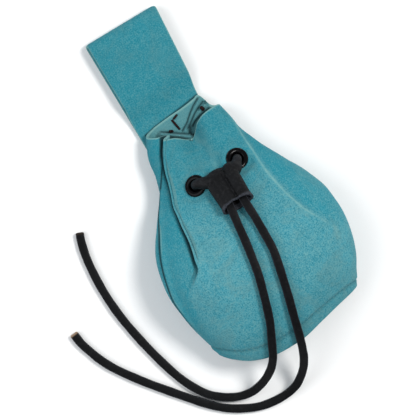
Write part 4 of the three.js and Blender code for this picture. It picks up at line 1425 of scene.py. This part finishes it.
# Lamps: place from the middle of the view to its right, to its top and up, size, power and colour
LAMPS = {
    "key": ((0.6, 0.3, 1.15), 0.4, 12.5, (1.0, 0.985, 0.96)),
    "fill": ((-0.9, -0.1, 1.1), 1.2, 9, (0.95, 0.98, 1.0)),
}
SKY_COLOUR = (0.93, 0.96, 1.0, 1.0)
SKY_STRENGTH = 0.52


def area_light(name, place, target, size, power, colour):
    """A round soft lamp turned towards its target."""
    light = bpy.data.lights.new(name, "AREA")
    light.shape = "DISK"
    light.size = size
    light.energy = power
    light.color = colour
    thing = add_object(name, light)
    thing.location = place
    thing.rotation_euler = (target - place).to_track_quat("-Z", "Y").to_euler()


class POUCH_OT_stage(bpy.types.Operator):
    """Pale floor, soft light from the photo's upper right and the camera straight above"""
    bl_idname = "pouch.stage"
    bl_label = "Stage"

    def execute(self, context):
        scene = context.scene
        corners = np.array([(-1, -1, 0), (1, -1, 0), (1, 1, 0), (-1, 1, 0)]) * FLOOR_HALF / MM
        floor = mesh_object("floor", corners, [(0, 1, 2, 3)], floor_material("floor"), smooth=False)
        floor.data.transform(Matrix.Translation((0, 0, -FLOOR_DROP * MM)))
        right = Vector((math.cos(PHOTO_TURN), -math.sin(PHOTO_TURN), 0))
        up = Vector((math.sin(PHOTO_TURN), math.cos(PHOTO_TURN), 0))
        centre = Vector(PHOTO_CENTRE) * MM
        for name, ((aside, ahead, above), size, power, colour) in LAMPS.items():
            place = centre + right * aside + up * ahead + Vector((0, 0, above))
            area_light(name, place, centre, size, power, colour)
        world = bpy.data.worlds.new("studio")
        world.use_nodes = True
        background = world.node_tree.nodes["Background"]
        background.inputs["Color"].default_value = SKY_COLOUR
        background.inputs["Strength"].default_value = SKY_STRENGTH
        scene.world = world
        scene.view_settings.view_transform = "Standard"
        height = scene.pouch_sizes.camera_height
        camera = bpy.data.cameras.new("camera")
        camera.sensor_width = SENSOR
        camera.lens = SENSOR * (height / MM - PHOTO_CENTRE[2]) / PHOTO_SPAN
        camera.clip_end = 10
        thing = add_object("camera", camera)
        turn = Matrix((right, up, (0, 0, 1))).transposed()
        thing.matrix_world = Matrix.Translation((centre.x, centre.y, height)) @ turn.to_4x4()
        scene.camera = thing
        return {"FINISHED"}


OPERATORS = (
    POUCH_OT_stage, POUCH_OT_laces, POUCH_OT_wall, POUCH_OT_base, POUCH_OT_belt_loop, POUCH_OT_eyelets,
    POUCH_OT_slider, POUCH_OT_stitches,
)


class POUCH_PT_panel(bpy.types.Panel):
    bl_idname = "POUCH_PT_panel"
    bl_label = "Belt pouch"
    bl_space_type = "VIEW_3D"
    bl_region_type = "UI"
    bl_category = "Pouch"

    def draw(self, context):
        for group in (context.scene.pouch_sizes, context.scene.pouch_colours):
            for name in group.bl_rna.properties.keys():
                if name not in ("rna_type", "name"):
                    self.layout.prop(group, name)
        for operator in OPERATORS:
            self.layout.operator(operator.bl_idname)


CLASSES = (PouchSizes, PouchColours, *OPERATORS, POUCH_PT_panel)


def register():
    for item in CLASSES:
        bpy.utils.register_class(item)
    bpy.types.Scene.pouch_sizes = PointerProperty(type=PouchSizes)
    bpy.types.Scene.pouch_colours = PointerProperty(type=PouchColours)


def unregister():
    del bpy.types.Scene.pouch_colours
    del bpy.types.Scene.pouch_sizes
    for item in reversed(CLASSES):
        bpy.utils.unregister_class(item)


def main():
    register()
    bpy.ops.pouch.stage()
    bpy.ops.pouch.laces()
    bpy.ops.pouch.wall()
    bpy.ops.pouch.base()
    bpy.ops.pouch.belt_loop()
    bpy.ops.pouch.eyelets()
    bpy.ops.pouch.slider()
    bpy.ops.pouch.stitches()


if __name__ == "__main__":
    main()
